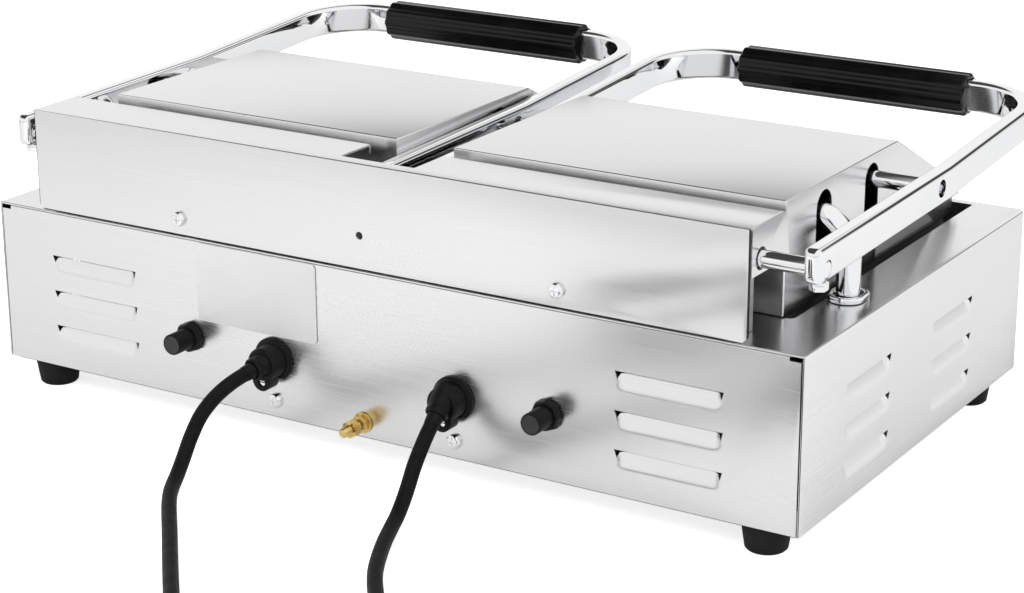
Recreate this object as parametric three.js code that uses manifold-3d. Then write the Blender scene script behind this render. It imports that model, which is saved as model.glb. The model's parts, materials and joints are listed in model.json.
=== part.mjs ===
// Double contact grill seen as it comes apart on a bench: a sheet steel base with two
// cast lower plates, and two hinged heads that swing up on chromed handles.
// Millimetres, +Z up, front towards -Y. The feet stand on z = 0. The origin is the
// middle of the appliance without its two supply cords.
import * as THREE from 'three';
import { mergeVertices } from 'three/addons/utils/BufferGeometryUtils.js';
import Module from 'manifold-3d';

const wasm = await Module();
wasm.setup();

// Shared clearances and stock
const fitGap = 0.3;          // air between two pieces that touch
const overrun = 6;           // how far a cutter runs past the face it cuts
const sheet = 1.2;           // stainless sheet
const weldTolerance = 0.0001;
const roundSides = 20;
const barSides = 16;
const smallSides = 10;
const tubeSides = 6;
const hexagon = 6;

// Heads, measured across from the line midway between them
const headsOffset = -10.5;   // that line stands this far off the middle of the base
const lidWidth = 216.5;
const lidSpacing = 40;       // between the two lids
const lidDepth = 252;
const lidHeight = 67.4;      // above the top of the base
const lidFlatDepth = 150;    // rear edge to the start of the front slope
const lidLipHeight = 15.5;   // top of the front lip
const lidLipDrop = 6.2;
const lidLipOverhang = 11;   // front lip to the upper plate
const lidSkirtHeight = 0.5;  // bottom edge of the sides
const lidSkirtStep = 3;      // the sides end this much higher near the front
const lidSkirtStepDepth = 28;
const slotTop = 62;          // top of the slots in the sides
const rodSlotHalf = 9.5;
const rodSlotBack = 2;
const conduitSlotHalf = 10;

// Handles
const armThickness = 10;
const armHeight = 20;
const armEdgeRadius = 2.5;
const armEdgeSteps = 1;
const innerArmGap = 3;       // lid side to the inner arm
const outerArmGap = 33;      // lid side to the outer arm, past the conduit
const handleReach = 42;      // front of the lid to the middle of the cross bar
const handleBend = 46;
const handleBendSteps = 5;
const armAboveShaft = 3;     // middle of the bar over the hinge shaft
const armFrontHeight = 63;
const armKnee = 14;          // in front of the pivot rod, where the bar starts to climb
const armTail = 11;          // bar behind the hinge shaft
const innerTailRadius = 10.5;
const gripLength = 160;
const gripRadius = 14;
const gripFluteDepth = 1.1;
const gripChamfer = 2.5;
const gripFlutes = 10;
const gripStepsPerFlute = 4;
const gripHoleSteps = 2;

// Hinge shafts, pivot rods and conduits, heights above the top of the base
const shaftRadius = 5;
const shaftToRear = 13.5;
const lidToShaft = 37.5;
const rodRadius = 5;
const rodHeight = 52.3;
const rodToLidRear = 116;
const rodRecess = 3;
const conduitRadius = 7;
const conduitHeight = 48;
const conduitToLidRear = 49;
const conduitBend = 22;
const conduitBendSteps = 6;
const conduitReach = 34;     // how far the tube runs into the head
const conduitFootClear = 13; // end of the tube above the bottom of the base
const conduitWallGap = 21.5; // middle of the tube to the side of the base
const conduitSway = 5;       // extra length of the bush, front to back
const conduitSwayBack = 0.9; // the tube leans more to the front than to the rear
const conduitSlotGap = 0.6;
const collarHeight = 3.5;
const collarWall = 4;

// Base, worked out from what it carries
const frontMargin = 19;      // front of the lids to the front panel
const baseHeight = 105;
const footHeight = 17;
const cornerRadius = 6;
const cornerSteps = 4;
const lidHalf = lidWidth / 2;
const lidOffset = lidSpacing / 2 + lidHalf;
const innerArm = lidSpacing / 2 - innerArmGap - armThickness / 2;
const outerArm = lidSpacing / 2 + lidWidth + outerArmGap + armThickness / 2;
const conduitOffset = lidSpacing / 2 + lidWidth + outerArmGap / 2;
const baseHalf = conduitOffset - headsOffset + conduitWallGap;
const baseDepth = shaftToRear + lidToShaft + lidDepth + frontMargin;
const baseBottom = footHeight;
const baseTop = baseBottom + baseHeight;
const rearY = baseDepth / 2;
const frontY = -rearY;
const shaftY = rearY - shaftToRear;
const lidRearY = shaftY - lidToShaft;
const lidFrontY = lidRearY - lidDepth;
const rodY = lidRearY - rodToLidRear;
const conduitY = lidRearY - conduitToLidRear;
const handleFrontY = lidFrontY - handleReach;
const armKneeY = rodY - armKnee;

// Plates and their heating elements
const openingMargin = 5;     // lid side to the edge of the opening under it
const openingFrontMargin = 11.5;
const openingRearMargin = 1;
const foldDrop = 5;          // folded edge of the opening
const contactDrop = 4.7;     // tips of the lower ribs below the top of the base
const ribHeight = 3;
const ribCount = 18;
const ribTipShare = 0.34;    // of the pitch
const ribRootShare = 0.56;
const castThickness = 12;
const channelFloor = 4;
const channelLedge = 1;
const channelWidth = 6;
const rimLap = 3;
const drainRadius = 5;
const drainInset = 23;       // from the inner end of the channel
const spoutWall = 2.5;
const spoutDrop = 8;
const upperThickness = 10;
const lugThickness = 12;
const lugSpacing = 124;
const lugWall = 6;
const conduitLugThickness = 8;
const conduitLugInset = 28;
const elementRadius = 3.25;
const elementMargin = 13;
const elementSideMargin = 11.25;
const elementLugGap = 1;       // second leg to the lug beside it
const elementInnerShare = 0.13;   // innermost leg from the middle line, of the outermost
const elementCornerRadius = 10;
const elementCornerSteps = 2;

// Hinge housing
const housingHeight = 65;
const shaftBelowTop = 19.5;  // hinge shaft under the top of the housing
const shaftHeight = housingHeight - shaftBelowTop;
const armRearHeight = shaftHeight + armAboveShaft;
const housingDepth = 40;
const housingEndGap = 8;     // end of the housing to the nearer arm
const housingLip = 6;
const housingCornerRadius = 4;
const flapDrop = 28;
const flapReach = 8.3;       // the end flaps reach in front of the top
const flapTopReach = 3;
const notchWidth = 52;
const notchOffset = 5.5;     // middle of the notch from the line between the heads
const notchStrip = 9;
const shaftHoleRadius = 6.6;
const ventHoleRadius = 2.5;
const ventHoleHeight = 21.4;
const housingScrewHeight = 11;
const housingScrewSpacing = 269;
const tabWidth = 20;
const tabHeight = 18;
const bracketThickness = 3;
const bracketHalf = 10;
const bracketInset = 9;
const bracketNotchGap = 6;
const springWire = 1.5;
const springRadius = 7;
const springPitch = 4;
const springTurns = 6;
const springStepsPerTurn = 8;
const springSides = 5;
const springInset = 40;
const springLeg = 10;

// Rear panel, heights above the bottom of the base
const rearCentre = 2.5;       // middle of the rear fittings
const louvreDepth = 4;
const louvreHeight = 12;
const louvrePitch = 23.5;
const louvreRows = 3;
const rearLouvreLength = 68;
const rearLouvreTop = 75.5;
const rearLouvreSpacing = 412;
const sideLouvreLength = 61;
const sideLouvreTop = 72;
const sideLouvreY = 15;
const sideLouvreSpacing = 121;
const reliefWidth = 7.5;
const reliefHeight = 2.5;
const glandSpacing = 130;
const glandHeight = 38;
const resetSpacing = 258;
const resetHeight = 41;
const studHeight = 9.8;
const labelWidth = 90;
const labelHeight = 50;
const labelThickness = 0.5;
const labelOffset = 77.4;
const labelMiddle = 78;
const panelScrewHeight = 11.2;
const screwRadius = 2.5;

// Supply cords
const cordRadius = 4.5;
const glandFlangeRadius = 13.8;
const glandFlange = 3;
const glandFlat = 10.5;      // the flange is cut off straight this far below its middle
const glandSpigotRadius = 9;
const glandSpigot = 10;
const glandTurretRadius = 10.4;
const glandTurret = 11;
const glandLobeRadius = 6.5;
const glandLobeDrop = 10;
const glandLobeBack = 5;
const reliefRootRadius = 7.6;
const reliefTipRadius = 6.2;
const reliefReach = 7;       // past the face of the turret
const floorGap = 0.2;        // the cords lie this much above the feet's floor
const cordExits = {          // degrees down and towards +X from straight back
  right: { droop: 10, turn: 12 },
  left: { droop: 42, turn: 0 },
};
const coilRadius = 63;       // outermost turn, middle of the cord
const coilTurns = 4;         // in two layers, in and out again
const coilGap = 0.7;
const coilClimbShare = 1 / 4;  // of a turn, before and after the middle of the climb
const coilSteps = 24;
const coilSides = 6;
const coilLead = 55;         // straight end that reaches the plug
const coilHeading = 32;      // degrees, towards -X from straight back
const coilPlaces = { right: [-95, 466], left: [-184, 411] };
const cordRoutes = {
  right: [
    [73.1, 198.2, 49.4], [77, 208.2, 43.3], [80.7, 217.2, 34.2], [81.9, 226.4, 22.8], [80, 235.9, 13.9],
    [76.3, 246.6, 7.8], [71.1, 258.1, 5], [62.5, 271.2, 4.7], [27.7, 313.5, 4.7], [-11.5, 360.6, 4.7],
    [-50.7, 406.5, 4.7], [-71.8, 430.1, 4.7],
  ],
  left: [
    [-62.2, 190.7, 40.5], [-62.2, 202.2, 27.8], [-64.6, 214.8, 15.9], [-68.4, 229, 8.2], [-72.7, 242.8, 5.2],
    [-81.1, 262.3, 4.7], [-98.9, 295.5, 4.7], [-125.9, 331.4, 4.7], [-151.5, 362.2, 4.7],
    [-162.6, 377.3, 4.7],
  ],
};
const cordSteps = 22;
const cordSides = 8;
const plugWidth = 50;
const plugLength = 46;
const plugHeight = 25;
const plugNose = 12;
const plugNoseRadius = 9;
const plugCorner = 9;
const plugCornerSteps = 3;
const pinLength = 21;
const pinThickness = 4;
const pinWidth = 6.4;
const earthPinWidth = 8;
const earthPinLonger = 4;
const pinRow = 11;
const earthPinForward = 22;
const pinInset = 12;

// Reset buttons, bonding stud and terminal block
const resetCollarRadius = 9.4;
const resetCollarReach = 5.5;
const resetBodyRadius = 8;
const resetBody = 14;
const resetButtonRadius = 6.6;
const resetReach = 20;
const resetTravel = 2.5;
const resetBore = 12;
const studRadius = 3;
const studReach = 22;
const studDepth = 8;
const nutRadius = 5.6;
const nutThickness = 5;
const washerRadius = 6.5;
const washerThickness = 1.4;
const outerNutAt = 10;
const blockWidth = 62;
const blockDepth = 20;
const blockHeight = 18;
const blockInset = 34;
const blockTerminals = 5;
const blockPostShare = 0.5;  // of the pitch
const blockStep = 4;

// Front panel, heights above the bottom of the base
const controlHeight = 62;
const knobInset = 70;
const knobRadius = 19;
const knobFaceRadius = 16;
const knobDepth = 17;
const knobRidge = 5;
const knobGap = 1;
const knobRim = 3;
const stemRadius = 3;
const stemReach = 14;        // behind the panel
const bushRadius = 5;
const bushReach = 6;
const thermostatRadius = 17;
const thermostatDepth = 26;
const switchInset = 122;
const switchWidth = 22;
const switchTall = 30;
const bezel = 2.5;
const bezelDepth = 2;
const switchDepth = 24;
const rockerPivotDepth = 2;
const rockerReach = 5.5;     // ends of the rocker in front of its pivot
const rockerHollow = 1.5;
const rockerKeel = 6;
const rockerPocket = 10;
const rockerWall = 1;
const rockerSwing = 7;       // degrees each way from the middle
const lampInset = 154;
const lampRadius = 5;
const lampCollar = 1.5;
const lampDepth = 16;
const lampDome = 3;
const lampDomeShare = 0.7;   // of the radius, where the dome turns over

// Drip tray
const trayWidth = 210;
const trayDepth = 118;
const trayHeight = 22;
const trayWall = 1;
const trayFloorHeight = 13;  // above the bottom of the base
const trayPlateLap = 7;
const trayPlate = 1.5;
const trayPlateSide = 10;    // the plate is this much wider than the tray at each end
const trayPlateRise = 4;
const trayPullHalf = 45;
const trayPull = 12;
const trayPullHeight = 2;
const runnerLedge = 7;

// Feet
const frontFootInset = 20;    // from the side wall
const frontFootSetback = 32;  // from the front
const rearFootInset = 27;
const rearFootSetback = 16;
const footTopRadius = 14.5;
const footRadius = 12.3;
const footStudRadius = 2.5;
const footStud = 5;
const flangeHeight = 15.5;   // rear flange of the bottom panel

const housingHalf = headsOffset + outerArm - armThickness / 2 - housingEndGap;
const housingFrontY = rearY - housingDepth;
const openingHalf = lidHalf + openingMargin;
const openingFrontY = lidFrontY - openingFrontMargin;
const openingRearY = lidRearY - openingRearMargin;
const rimTop = -(sheet + foldDrop + fitGap);
const lowerBottom = rimTop - castThickness;
const lidInner = lidHalf - sheet;
const lidLipY = lidFrontY + lidLipOverhang;
const upperFrontY = lidLipY + sheet + fitGap;
const upperRearY = lidRearY - sheet - fitGap;
const upperTips = fitGap - contactDrop;
const upperRoots = upperTips + ribHeight;
const upperTop = upperRoots + upperThickness;
const trayBottom = baseBottom + trayFloorHeight;

const sides = [{ name: 'left', sign: -1 }, { name: 'right', sign: 1 }];
const ends = [
  { name: 'front', sign: -1, inset: frontFootInset, setback: frontFootSetback },
  { name: 'rear', sign: 1, inset: rearFootInset, setback: rearFootSetback },
];
const footSpot = (side, end) => [side.sign * (baseHalf - end.inset), end.sign * (rearY - end.setback)];

const finish = {
  brushed: { color: 0xd4d5d6, metalness: 0.9, roughness: 0.42 },
  chrome: { color: 0xe8e9ea, metalness: 1, roughness: 0.08 },
  steel: { color: 0x9b9da0, metalness: 0.9, roughness: 0.5 },
  castIron: { color: 0x2a2a2b, metalness: 0.4, roughness: 0.75 },
  blackPlastic: { color: 0x121213, metalness: 0, roughness: 0.3 },
  blackRubber: { color: 0x17171a, metalness: 0, roughness: 0.65 },
  brass: { color: 0xc9a24a, metalness: 1, roughness: 0.3 },
  label: { color: 0xeeeeee, metalness: 0, roughness: 0.6 },
  ceramic: { color: 0xe9e4d8, metalness: 0, roughness: 0.7 },
  lens: { color: 0xd9822b, metalness: 0, roughness: 0.2 },
};

// Shapes and solids
function outward(geometry) {
  const { position } = geometry.attributes;
  const index = geometry.index.array;
  const [a, b, c] = [new THREE.Vector3(), new THREE.Vector3(), new THREE.Vector3()];
  let volume = 0;
  for (let i = 0; i < index.length; i += 3) {
    a.fromBufferAttribute(position, index[i]);
    b.fromBufferAttribute(position, index[i + 1]);
    c.fromBufferAttribute(position, index[i + 2]);
    volume += a.dot(b.cross(c));
  }
  if (volume < 0) {
    for (let i = 0; i < index.length; i += 3) [index[i], index[i + 1]] = [index[i + 1], index[i]];
  }
  return geometry;
}

function solidOf(shape) {
  if (shape instanceof wasm.Manifold) return shape;
  const bare = shape.clone();
  bare.deleteAttribute('normal');
  bare.deleteAttribute('uv');
  const welded = outward(mergeVertices(bare, weldTolerance));
  return new wasm.Manifold(new wasm.Mesh({
    numProp: 3,
    vertProperties: new Float32Array(welded.attributes.position.array),
    triVerts: new Uint32Array(welded.index.array),
  }));
}

function geometryOf(solid) {
  const mesh = solid.getMesh();
  const geometry = new THREE.BufferGeometry();
  geometry.setAttribute('position', new THREE.BufferAttribute(new Float32Array(mesh.vertProperties), 3));
  geometry.setIndex(new THREE.BufferAttribute(new Uint32Array(mesh.triVerts), 1));
  geometry.computeVertexNormals();
  return geometry;
}

function join(...shapes) {
  return shapes.map(solidOf).reduce((whole, shape) => whole.add(shape));
}

function cut(shape, ...tools) {
  return tools.map(solidOf).reduce((rest, tool) => rest.subtract(tool), solidOf(shape));
}

function block([x0, x1], [y0, y1], [z0, z1]) {
  const box = new THREE.BoxGeometry(Math.abs(x1 - x0), y1 - y0, z1 - z0);
  return box.translate((x0 + x1) / 2, (y0 + y1) / 2, (z0 + z1) / 2);
}

const grown = ([from, to], by) => [from - by, to + by];
const around = (middle, by) => [middle - by, middle + by];

// Outlines are (y, z) along X, (x, z) along Y and (x, y) along Z
function prism(axis, outline, [from, to], holes = []) {
  const shape = new THREE.Shape(outline.map(([u, v]) => new THREE.Vector2(u, v)));
  for (const hole of holes) shape.holes.push(new THREE.Path(hole.map(([u, v]) => new THREE.Vector2(u, v))));
  const geometry = new THREE.ExtrudeGeometry(shape, { depth: to - from, bevelEnabled: false, steps: 1 });
  const [X, Y, Z] = [[1, 0, 0], [0, 1, 0], [0, 0, 1]].map((v) => new THREE.Vector3(...v));
  if (axis === 'x') {
    const turn = new THREE.Matrix4().makeBasis(Y, Z, X);
    return geometry.applyMatrix4(turn).translate(from, 0, 0);
  }
  if (axis === 'y') {
    const turn = new THREE.Matrix4().makeBasis(X, Z, Y.clone().negate());
    return geometry.applyMatrix4(turn).translate(0, to, 0);
  }
  return geometry.translate(0, 0, from);
}

function circle(u, v, radius, count = roundSides) {
  const step = (2 * Math.PI) / count;
  return Array.from({ length: count }, (_, i) => [
    u + radius * Math.cos((i + 0.5) * step), v + radius * Math.sin((i + 0.5) * step),
  ]);
}

function rod(axis, [u, v], radius, span, count = barSides) {
  return prism(axis, circle(u, v, radius, count), span);
}

// Keyhole: a round top that runs straight down past the edge of the sheet
function keyhole(u, v, radius, bottom) {
  const arc = Array.from({ length: roundSides / 2 + 1 }, (_, i) => {
    const angle = (i / (roundSides / 2)) * Math.PI;
    return [u + radius * Math.cos(angle), v + radius * Math.sin(angle)];
  });
  return [...arc, [u - radius, bottom], [u + radius, bottom]];
}

function stadium(u, v, radius, stretch) {
  return circle(u, v, radius).map(([x, y]) => [x, y + (y > v ? stretch : -stretch) / 2]);
}

function roundedBox([u0, u1], [v0, v1], radius, steps) {
  const centres = [[u1 - radius, v0 + radius], [u1 - radius, v1 - radius],
    [u0 + radius, v1 - radius], [u0 + radius, v0 + radius]];
  return centres.flatMap(([u, v], corner) => Array.from({ length: steps + 1 }, (_, i) => {
    const angle = ((corner - 1 + i / steps) * Math.PI) / 2;
    return [u + radius * Math.cos(angle), v + radius * Math.sin(angle)];
  }));
}

// Base plan with rounded front corners, drawn in from the outside by an inset
function basePlan(inset, back) {
  const half = baseHalf - inset;
  const radius = cornerRadius - Math.min(inset, cornerRadius / 2);
  const outline = roundedBox([-half, half], [frontY + inset, rearY], radius, cornerSteps);
  return outline.map(([x, y]) => [y > 0 ? Math.sign(x) * half : x, y > 0 ? back : y])
    .filter(([x, y], i, all) => i === 0 || x !== all[i - 1][0] || y !== all[i - 1][1]);
}

// Revolved profile of [radius, height] points, standing along the named axis
function turned(axis, profile, count = roundSides) {
  const points = profile.map(([r, h]) => new THREE.Vector2(r, h));
  const geometry = new THREE.LatheGeometry(points, count);
  if (axis === 'z') geometry.rotateX(Math.PI / 2);
  return geometry;
}

// Closed skin over a row of rings that have the same number of points
function loft(rings) {
  const count = rings[0].length;
  const position = rings.flatMap((ring) => ring.flatMap((p) => [p.x, p.y, p.z]));
  const index = [];
  for (let i = 0; i + 1 < rings.length; i += 1) {
    for (let j = 0; j < count; j += 1) {
      const [a, b] = [i * count + j, i * count + ((j + 1) % count)];
      index.push(a, b, b + count, a, b + count, a + count);
    }
  }
  const last = (rings.length - 1) * count;
  for (let j = 1; j + 1 < count; j += 1) {
    index.push(0, j + 1, j);
    index.push(last, last + j, last + j + 1);
  }
  const geometry = new THREE.BufferGeometry();
  geometry.setAttribute('position', new THREE.Float32BufferAttribute(position, 3));
  geometry.setIndex(index);
  outward(geometry).computeVertexNormals();
  return geometry;
}

// Round tube through the points, its section carried along without twist
function tube(points, radius, count) {
  const tangent = points.map((_, i) => {
    const ahead = points[Math.min(i + 1, points.length - 1)];
    return ahead.clone().sub(points[Math.max(i - 1, 0)]).normalize();
  });
  const upright = Math.abs(tangent[0].z) > Math.SQRT1_2;
  const across = new THREE.Vector3(upright ? 1 : 0, 0, upright ? 0 : 1).cross(tangent[0]).normalize();
  const turn = new THREE.Quaternion();
  return loft(points.map((point, i) => {
    if (i > 0) across.applyQuaternion(turn.setFromUnitVectors(tangent[i - 1], tangent[i]));
    const over = tangent[i].clone().cross(across);
    return Array.from({ length: count }, (_, j) => {
      const angle = ((j + 0.5) / count) * 2 * Math.PI;
      return point.clone().addScaledVector(across, radius * Math.cos(angle))
        .addScaledVector(over, radius * Math.sin(angle));
    });
  }));
}

// Corner points of a plan path, each rounded to its radius with a few steps
function roundedPath(corners, radius, steps) {
  return corners.flatMap((corner, i) => {
    if (i === 0 || i === corners.length - 1) return [corner];
    const back = corners[i - 1].clone().sub(corner).normalize();
    const ahead = corners[i + 1].clone().sub(corner).normalize();
    const half = back.angleTo(ahead) / 2;
    const reach = radius / Math.tan(half);
    const inward = back.clone().add(ahead).normalize();
    const middle = corner.clone().addScaledVector(inward, radius / Math.sin(half));
    const start = corner.clone().addScaledVector(back, reach).sub(middle);
    const stop = corner.clone().addScaledVector(ahead, reach).sub(middle);
    const sweep = start.angleTo(stop);
    return Array.from({ length: steps + 1 }, (_, k) => {
      const t = k / steps;
      return start.clone().multiplyScalar(Math.sin((1 - t) * sweep) / Math.sin(sweep))
        .addScaledVector(stop, Math.sin(t * sweep) / Math.sin(sweep)).add(middle);
    });
  });
}

// Scene graph
const grill = new THREE.Group();
const appliance = new THREE.Group();
const cords = new THREE.Group();
grill.add(appliance, cords);
const deck = new THREE.Group();
deck.position.z = baseTop;
const rear = new THREE.Group();
rear.position.set(rearCentre, rearY, baseBottom);
const front = new THREE.Group();
front.position.set(0, frontY, baseBottom);
appliance.add(deck, rear, front);
const heads = Object.fromEntries(sides.map((side) => {
  const head = new THREE.Group();
  head.position.set(headsOffset + side.sign * lidOffset, 0, baseTop);
  appliance.add(head);
  return [side.name, head];
}));

function add(parent, name, shape, look, place = [0, 0, 0]) {
  const geometry = shape instanceof wasm.Manifold ? geometryOf(shape) : shape;
  const mesh = new THREE.Mesh(geometry, new THREE.MeshStandardMaterial(finish[look]));
  mesh.name = name;
  mesh.position.set(...place);
  parent.add(mesh);
  return mesh;
}

const headX = (side, offset) => headsOffset + side.sign * offset;
const pairX = (spacing) => sides.map((side) => (side.sign * spacing) / 2);

// Louvre pressed into a panel whose outer face is y = 0 and looks along +Y
function louvre(length, top) {
  const foot = top - louvreHeight;
  const pocket = [[-sheet / 2, foot - sheet], [-sheet / 2, top], [-louvreDepth - sheet, top],
    [-sheet, foot - sheet]];
  const mouth = [[overrun, foot], [0, foot], [-louvreDepth, top], [-louvreDepth, top + sheet],
    [-sheet, top + sheet], [-sheet, top], [overrun, top]];
  const half = length / 2;
  return {
    pocket: prism('x', pocket, [-half - sheet, half + sheet]),
    mouth: prism('x', mouth, [-half, half]),
  };
}

function withLouvres(panel, spots) {
  const made = spots.flatMap(({ length, top, turn, at }) => Array.from({ length: louvreRows }, (_, row) => {
    const parts = louvre(length, top - row * louvrePitch);
    for (const part of Object.values(parts)) part.rotateZ(turn).translate(...at);
    return parts;
  }));
  return cut(join(panel, ...made.map((m) => m.pocket)), ...made.map((m) => m.mouth));
}

function openingOf(side) {
  const middle = headX(side, lidOffset);
  return { x: [middle - openingHalf, middle + openingHalf], y: [openingFrontY, openingRearY] };
}

const tabY = rearY - sheet - fitGap;
const knobX = (side) => side.sign * (baseHalf - knobInset);
const switchX = (side) => side.sign * (baseHalf - switchInset);
const lampX = (side) => side.sign * (baseHalf - lampInset);
const conduitX = (side) => headX(side, conduitOffset);

function baseShell() {
  const skin = prism('z', basePlan(0, rearY), [baseBottom, baseTop]);
  const hollow = prism('z', basePlan(sheet, rearY + overrun), [baseBottom - overrun, baseTop - sheet]);
  let shell = cut(skin, hollow);
  for (const side of sides) {
    const { x, y } = openingOf(side);
    const fold = block(grown(x, sheet), grown(y, sheet), [baseTop - sheet - foldDrop, baseTop - sheet / 2]);
    shell = cut(join(shell, fold), block(x, y, [baseTop - sheet - foldDrop - overrun, baseTop + overrun]));
  }
  for (const x of pairX(housingScrewSpacing)) {
    const middle = rearCentre + x;
    const tab = block(around(middle, tabWidth / 2), [tabY - sheet, tabY],
      [baseTop - sheet / 2, baseTop + tabHeight]);
    const hole = rod('y', [middle, baseTop + housingScrewHeight], screwRadius + fitGap,
      grown([tabY - sheet, tabY], overrun), smallSides);
    shell = cut(join(shell, tab), hole);
  }
  const wall = grown([frontY, frontY + sheet], overrun);
  const controls = sides.flatMap((side) => {
    const z = baseBottom + controlHeight;
    const slot = switchWidth / 2 - bezel + fitGap;
    const tall = switchTall / 2 - bezel + fitGap;
    return [
      rod('y', [knobX(side), z], bushRadius + fitGap, wall),
      block(grown([switchX(side), switchX(side)], slot), wall, around(z, tall)),
      rod('y', [lampX(side), z], lampRadius + fitGap, wall),
      prism('z', swaySlot(conduitRadius + conduitSlotGap).map(([x, y]) => [x + conduitX(side), y + conduitY]),
        around(baseTop, overrun)),
    ];
  });
  const trayMouth = block(grown([-trayWidth / 2, trayWidth / 2], 2 * fitGap), wall,
    [trayBottom - fitGap, trayBottom + trayHeight + 2 * fitGap]);
  shell = cut(shell, ...controls, trayMouth);
  const spots = sides.flatMap((side) => ends.map((end) => ({
    length: sideLouvreLength,
    top: baseBottom + sideLouvreTop,
    turn: (-side.sign * Math.PI) / 2,
    at: [side.sign * baseHalf, sideLouvreY + (end.sign * sideLouvreSpacing) / 2, 0],
  })));
  return withLouvres(shell, spots);
}

function rearPanel() {
  const half = baseHalf - sheet - fitGap;
  const top = baseTop - sheet - fitGap;
  const thickness = [rearY - sheet, rearY];
  let panel = solidOf(block([-half, half], thickness, [baseBottom, top]));
  const through = grown(thickness, overrun);
  const holes = [
    ...sides.map((side) => block(around(side.sign * half, reliefWidth), through,
      [top - reliefHeight, top + overrun])),
    ...pairX(glandSpacing).map((x) => rod('y', [rearCentre + x, baseBottom + glandHeight],
      glandSpigotRadius + fitGap, through)),
    ...pairX(resetSpacing).map((x) => rod('y', [rearCentre + x, baseBottom + resetHeight],
      resetBodyRadius + fitGap, through)),
    ...pairX(glandSpacing).map((x) => rod('y', [rearCentre + x, baseBottom + panelScrewHeight],
      screwRadius + fitGap, through, smallSides)),
    rod('y', [rearCentre, baseBottom + studHeight], studRadius + fitGap, through, smallSides),
  ];
  panel = cut(panel, ...holes);
  return withLouvres(panel, sides.map((side) => ({
    length: rearLouvreLength,
    top: baseBottom + rearLouvreTop,
    turn: 0,
    at: [rearCentre + (side.sign * rearLouvreSpacing) / 2, rearY, 0],
  })));
}

function bottomPanel() {
  const floor = prism('z', basePlan(sheet + fitGap, tabY), [baseBottom, baseBottom + sheet]);
  const half = baseHalf - sheet - fitGap;
  const flange = block([-half, half], [tabY - sheet, tabY], [baseBottom, baseBottom + flangeHeight]);
  const ledge = trayBottom - fitGap;
  const runners = sides.flatMap((side) => {
    const face = (trayWidth / 2 + fitGap) * side.sign;
    const y = [frontY + sheet + fitGap + cornerRadius, frontY + trayDepth];
    const web = [face, face + side.sign * sheet].sort((a, b) => a - b);
    const shelf = [face - side.sign * runnerLedge, face + side.sign * sheet].sort((a, b) => a - b);
    return [
      block(web, y, [baseBottom, trayBottom + trayHeight / 2]),
      block(shelf, y, [ledge - sheet, ledge]),
    ];
  });
  const through = grown([baseBottom, baseBottom + sheet], overrun);
  const rearThrough = grown([tabY - sheet, tabY], overrun);
  const holes = [
    ...sides.flatMap((side) => ends.map((end) => rod('z', footSpot(side, end),
      footStudRadius + fitGap, through, smallSides))),
    ...pairX(glandSpacing).map((x) => rod('y', [rearCentre + x, baseBottom + panelScrewHeight],
      screwRadius + fitGap, rearThrough, smallSides)),
    rod('y', [rearCentre, baseBottom + studHeight], studRadius + fitGap, rearThrough, smallSides),
  ];
  return cut(join(floor, flange, ...runners), ...holes);
}

function foot() {
  const top = footHeight - fitGap;
  return turned('z', [[0, 0], [footRadius, 0], [footTopRadius, top], [footStudRadius, top],
    [footStudRadius, footHeight + sheet + footStud], [0, footHeight + sheet + footStud]]);
}

function hingeHousing() {
  const y = [rearY - sheet, rearY];
  const back = prism('y', [
    [-housingHalf + housingCornerRadius, fitGap], [housingHalf - housingCornerRadius, fitGap],
    [housingHalf, fitGap + housingCornerRadius], [housingHalf, housingHeight], [-housingHalf, housingHeight],
    [-housingHalf, fitGap + housingCornerRadius]], y);
  const top = block([-housingHalf, housingHalf], [housingFrontY, rearY],
    [housingHeight - sheet, housingHeight]);
  const lip = block([-housingHalf, housingHalf], [housingFrontY, housingFrontY + sheet],
    [housingHeight - housingLip, housingHeight]);
  const flapRear = rearY - 2 * sheet;
  const flapBottom = housingHeight - flapDrop;
  const flap = [[flapRear, flapBottom], [flapRear, housingHeight], [housingFrontY, housingHeight],
    [housingFrontY - flapTopReach, housingHeight - sheet], [housingFrontY - flapReach, flapBottom + sheet],
    [housingFrontY - flapReach, flapBottom]];
  const flaps = sides.map((side) => {
    const span = [side.sign * housingHalf, side.sign * (housingHalf - sheet)].sort((a, b) => a - b);
    const hole = rod('x', [shaftY, shaftHeight], shaftHoleRadius, grown(span, overrun));
    return cut(prism('x', flap, span), hole);
  });
  const middle = headsOffset + notchOffset;
  const notch = block(around(middle, notchWidth / 2), [housingFrontY - overrun, rearY - notchStrip],
    [housingHeight - housingLip - overrun, housingHeight + overrun]);
  const through = grown(y, overrun);
  const holes = [
    rod('y', [rearCentre, ventHoleHeight], ventHoleRadius, through, smallSides),
    ...pairX(housingScrewSpacing).map((x) => rod('y', [rearCentre + x, housingScrewHeight],
      screwRadius + fitGap, through, smallSides)),
  ];
  return cut(join(back, top, lip, ...flaps), notch, ...holes);
}

// Channel with an upright ear at each end, bored for one hinge shaft
function shaftBracket(side) {
  const outer = side.sign * (housingHalf - bracketInset);
  const inner = headsOffset + notchOffset + side.sign * (notchWidth / 2 + bracketNotchGap);
  const span = [outer, inner].sort((a, b) => a - b);
  const y = around(shaftY, bracketHalf);
  const floor = block(span, y, [fitGap, fitGap + bracketThickness]);
  const ears = [[span[0], span[0] + bracketThickness], [span[1] - bracketThickness, span[1]]]
    .map((x) => block(x, y, [fitGap, shaftHeight + bracketHalf]));
  const bore = rod('x', [shaftY, shaftHeight], shaftRadius + fitGap, grown(span, overrun));
  return cut(join(floor, ...ears), bore);
}

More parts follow.
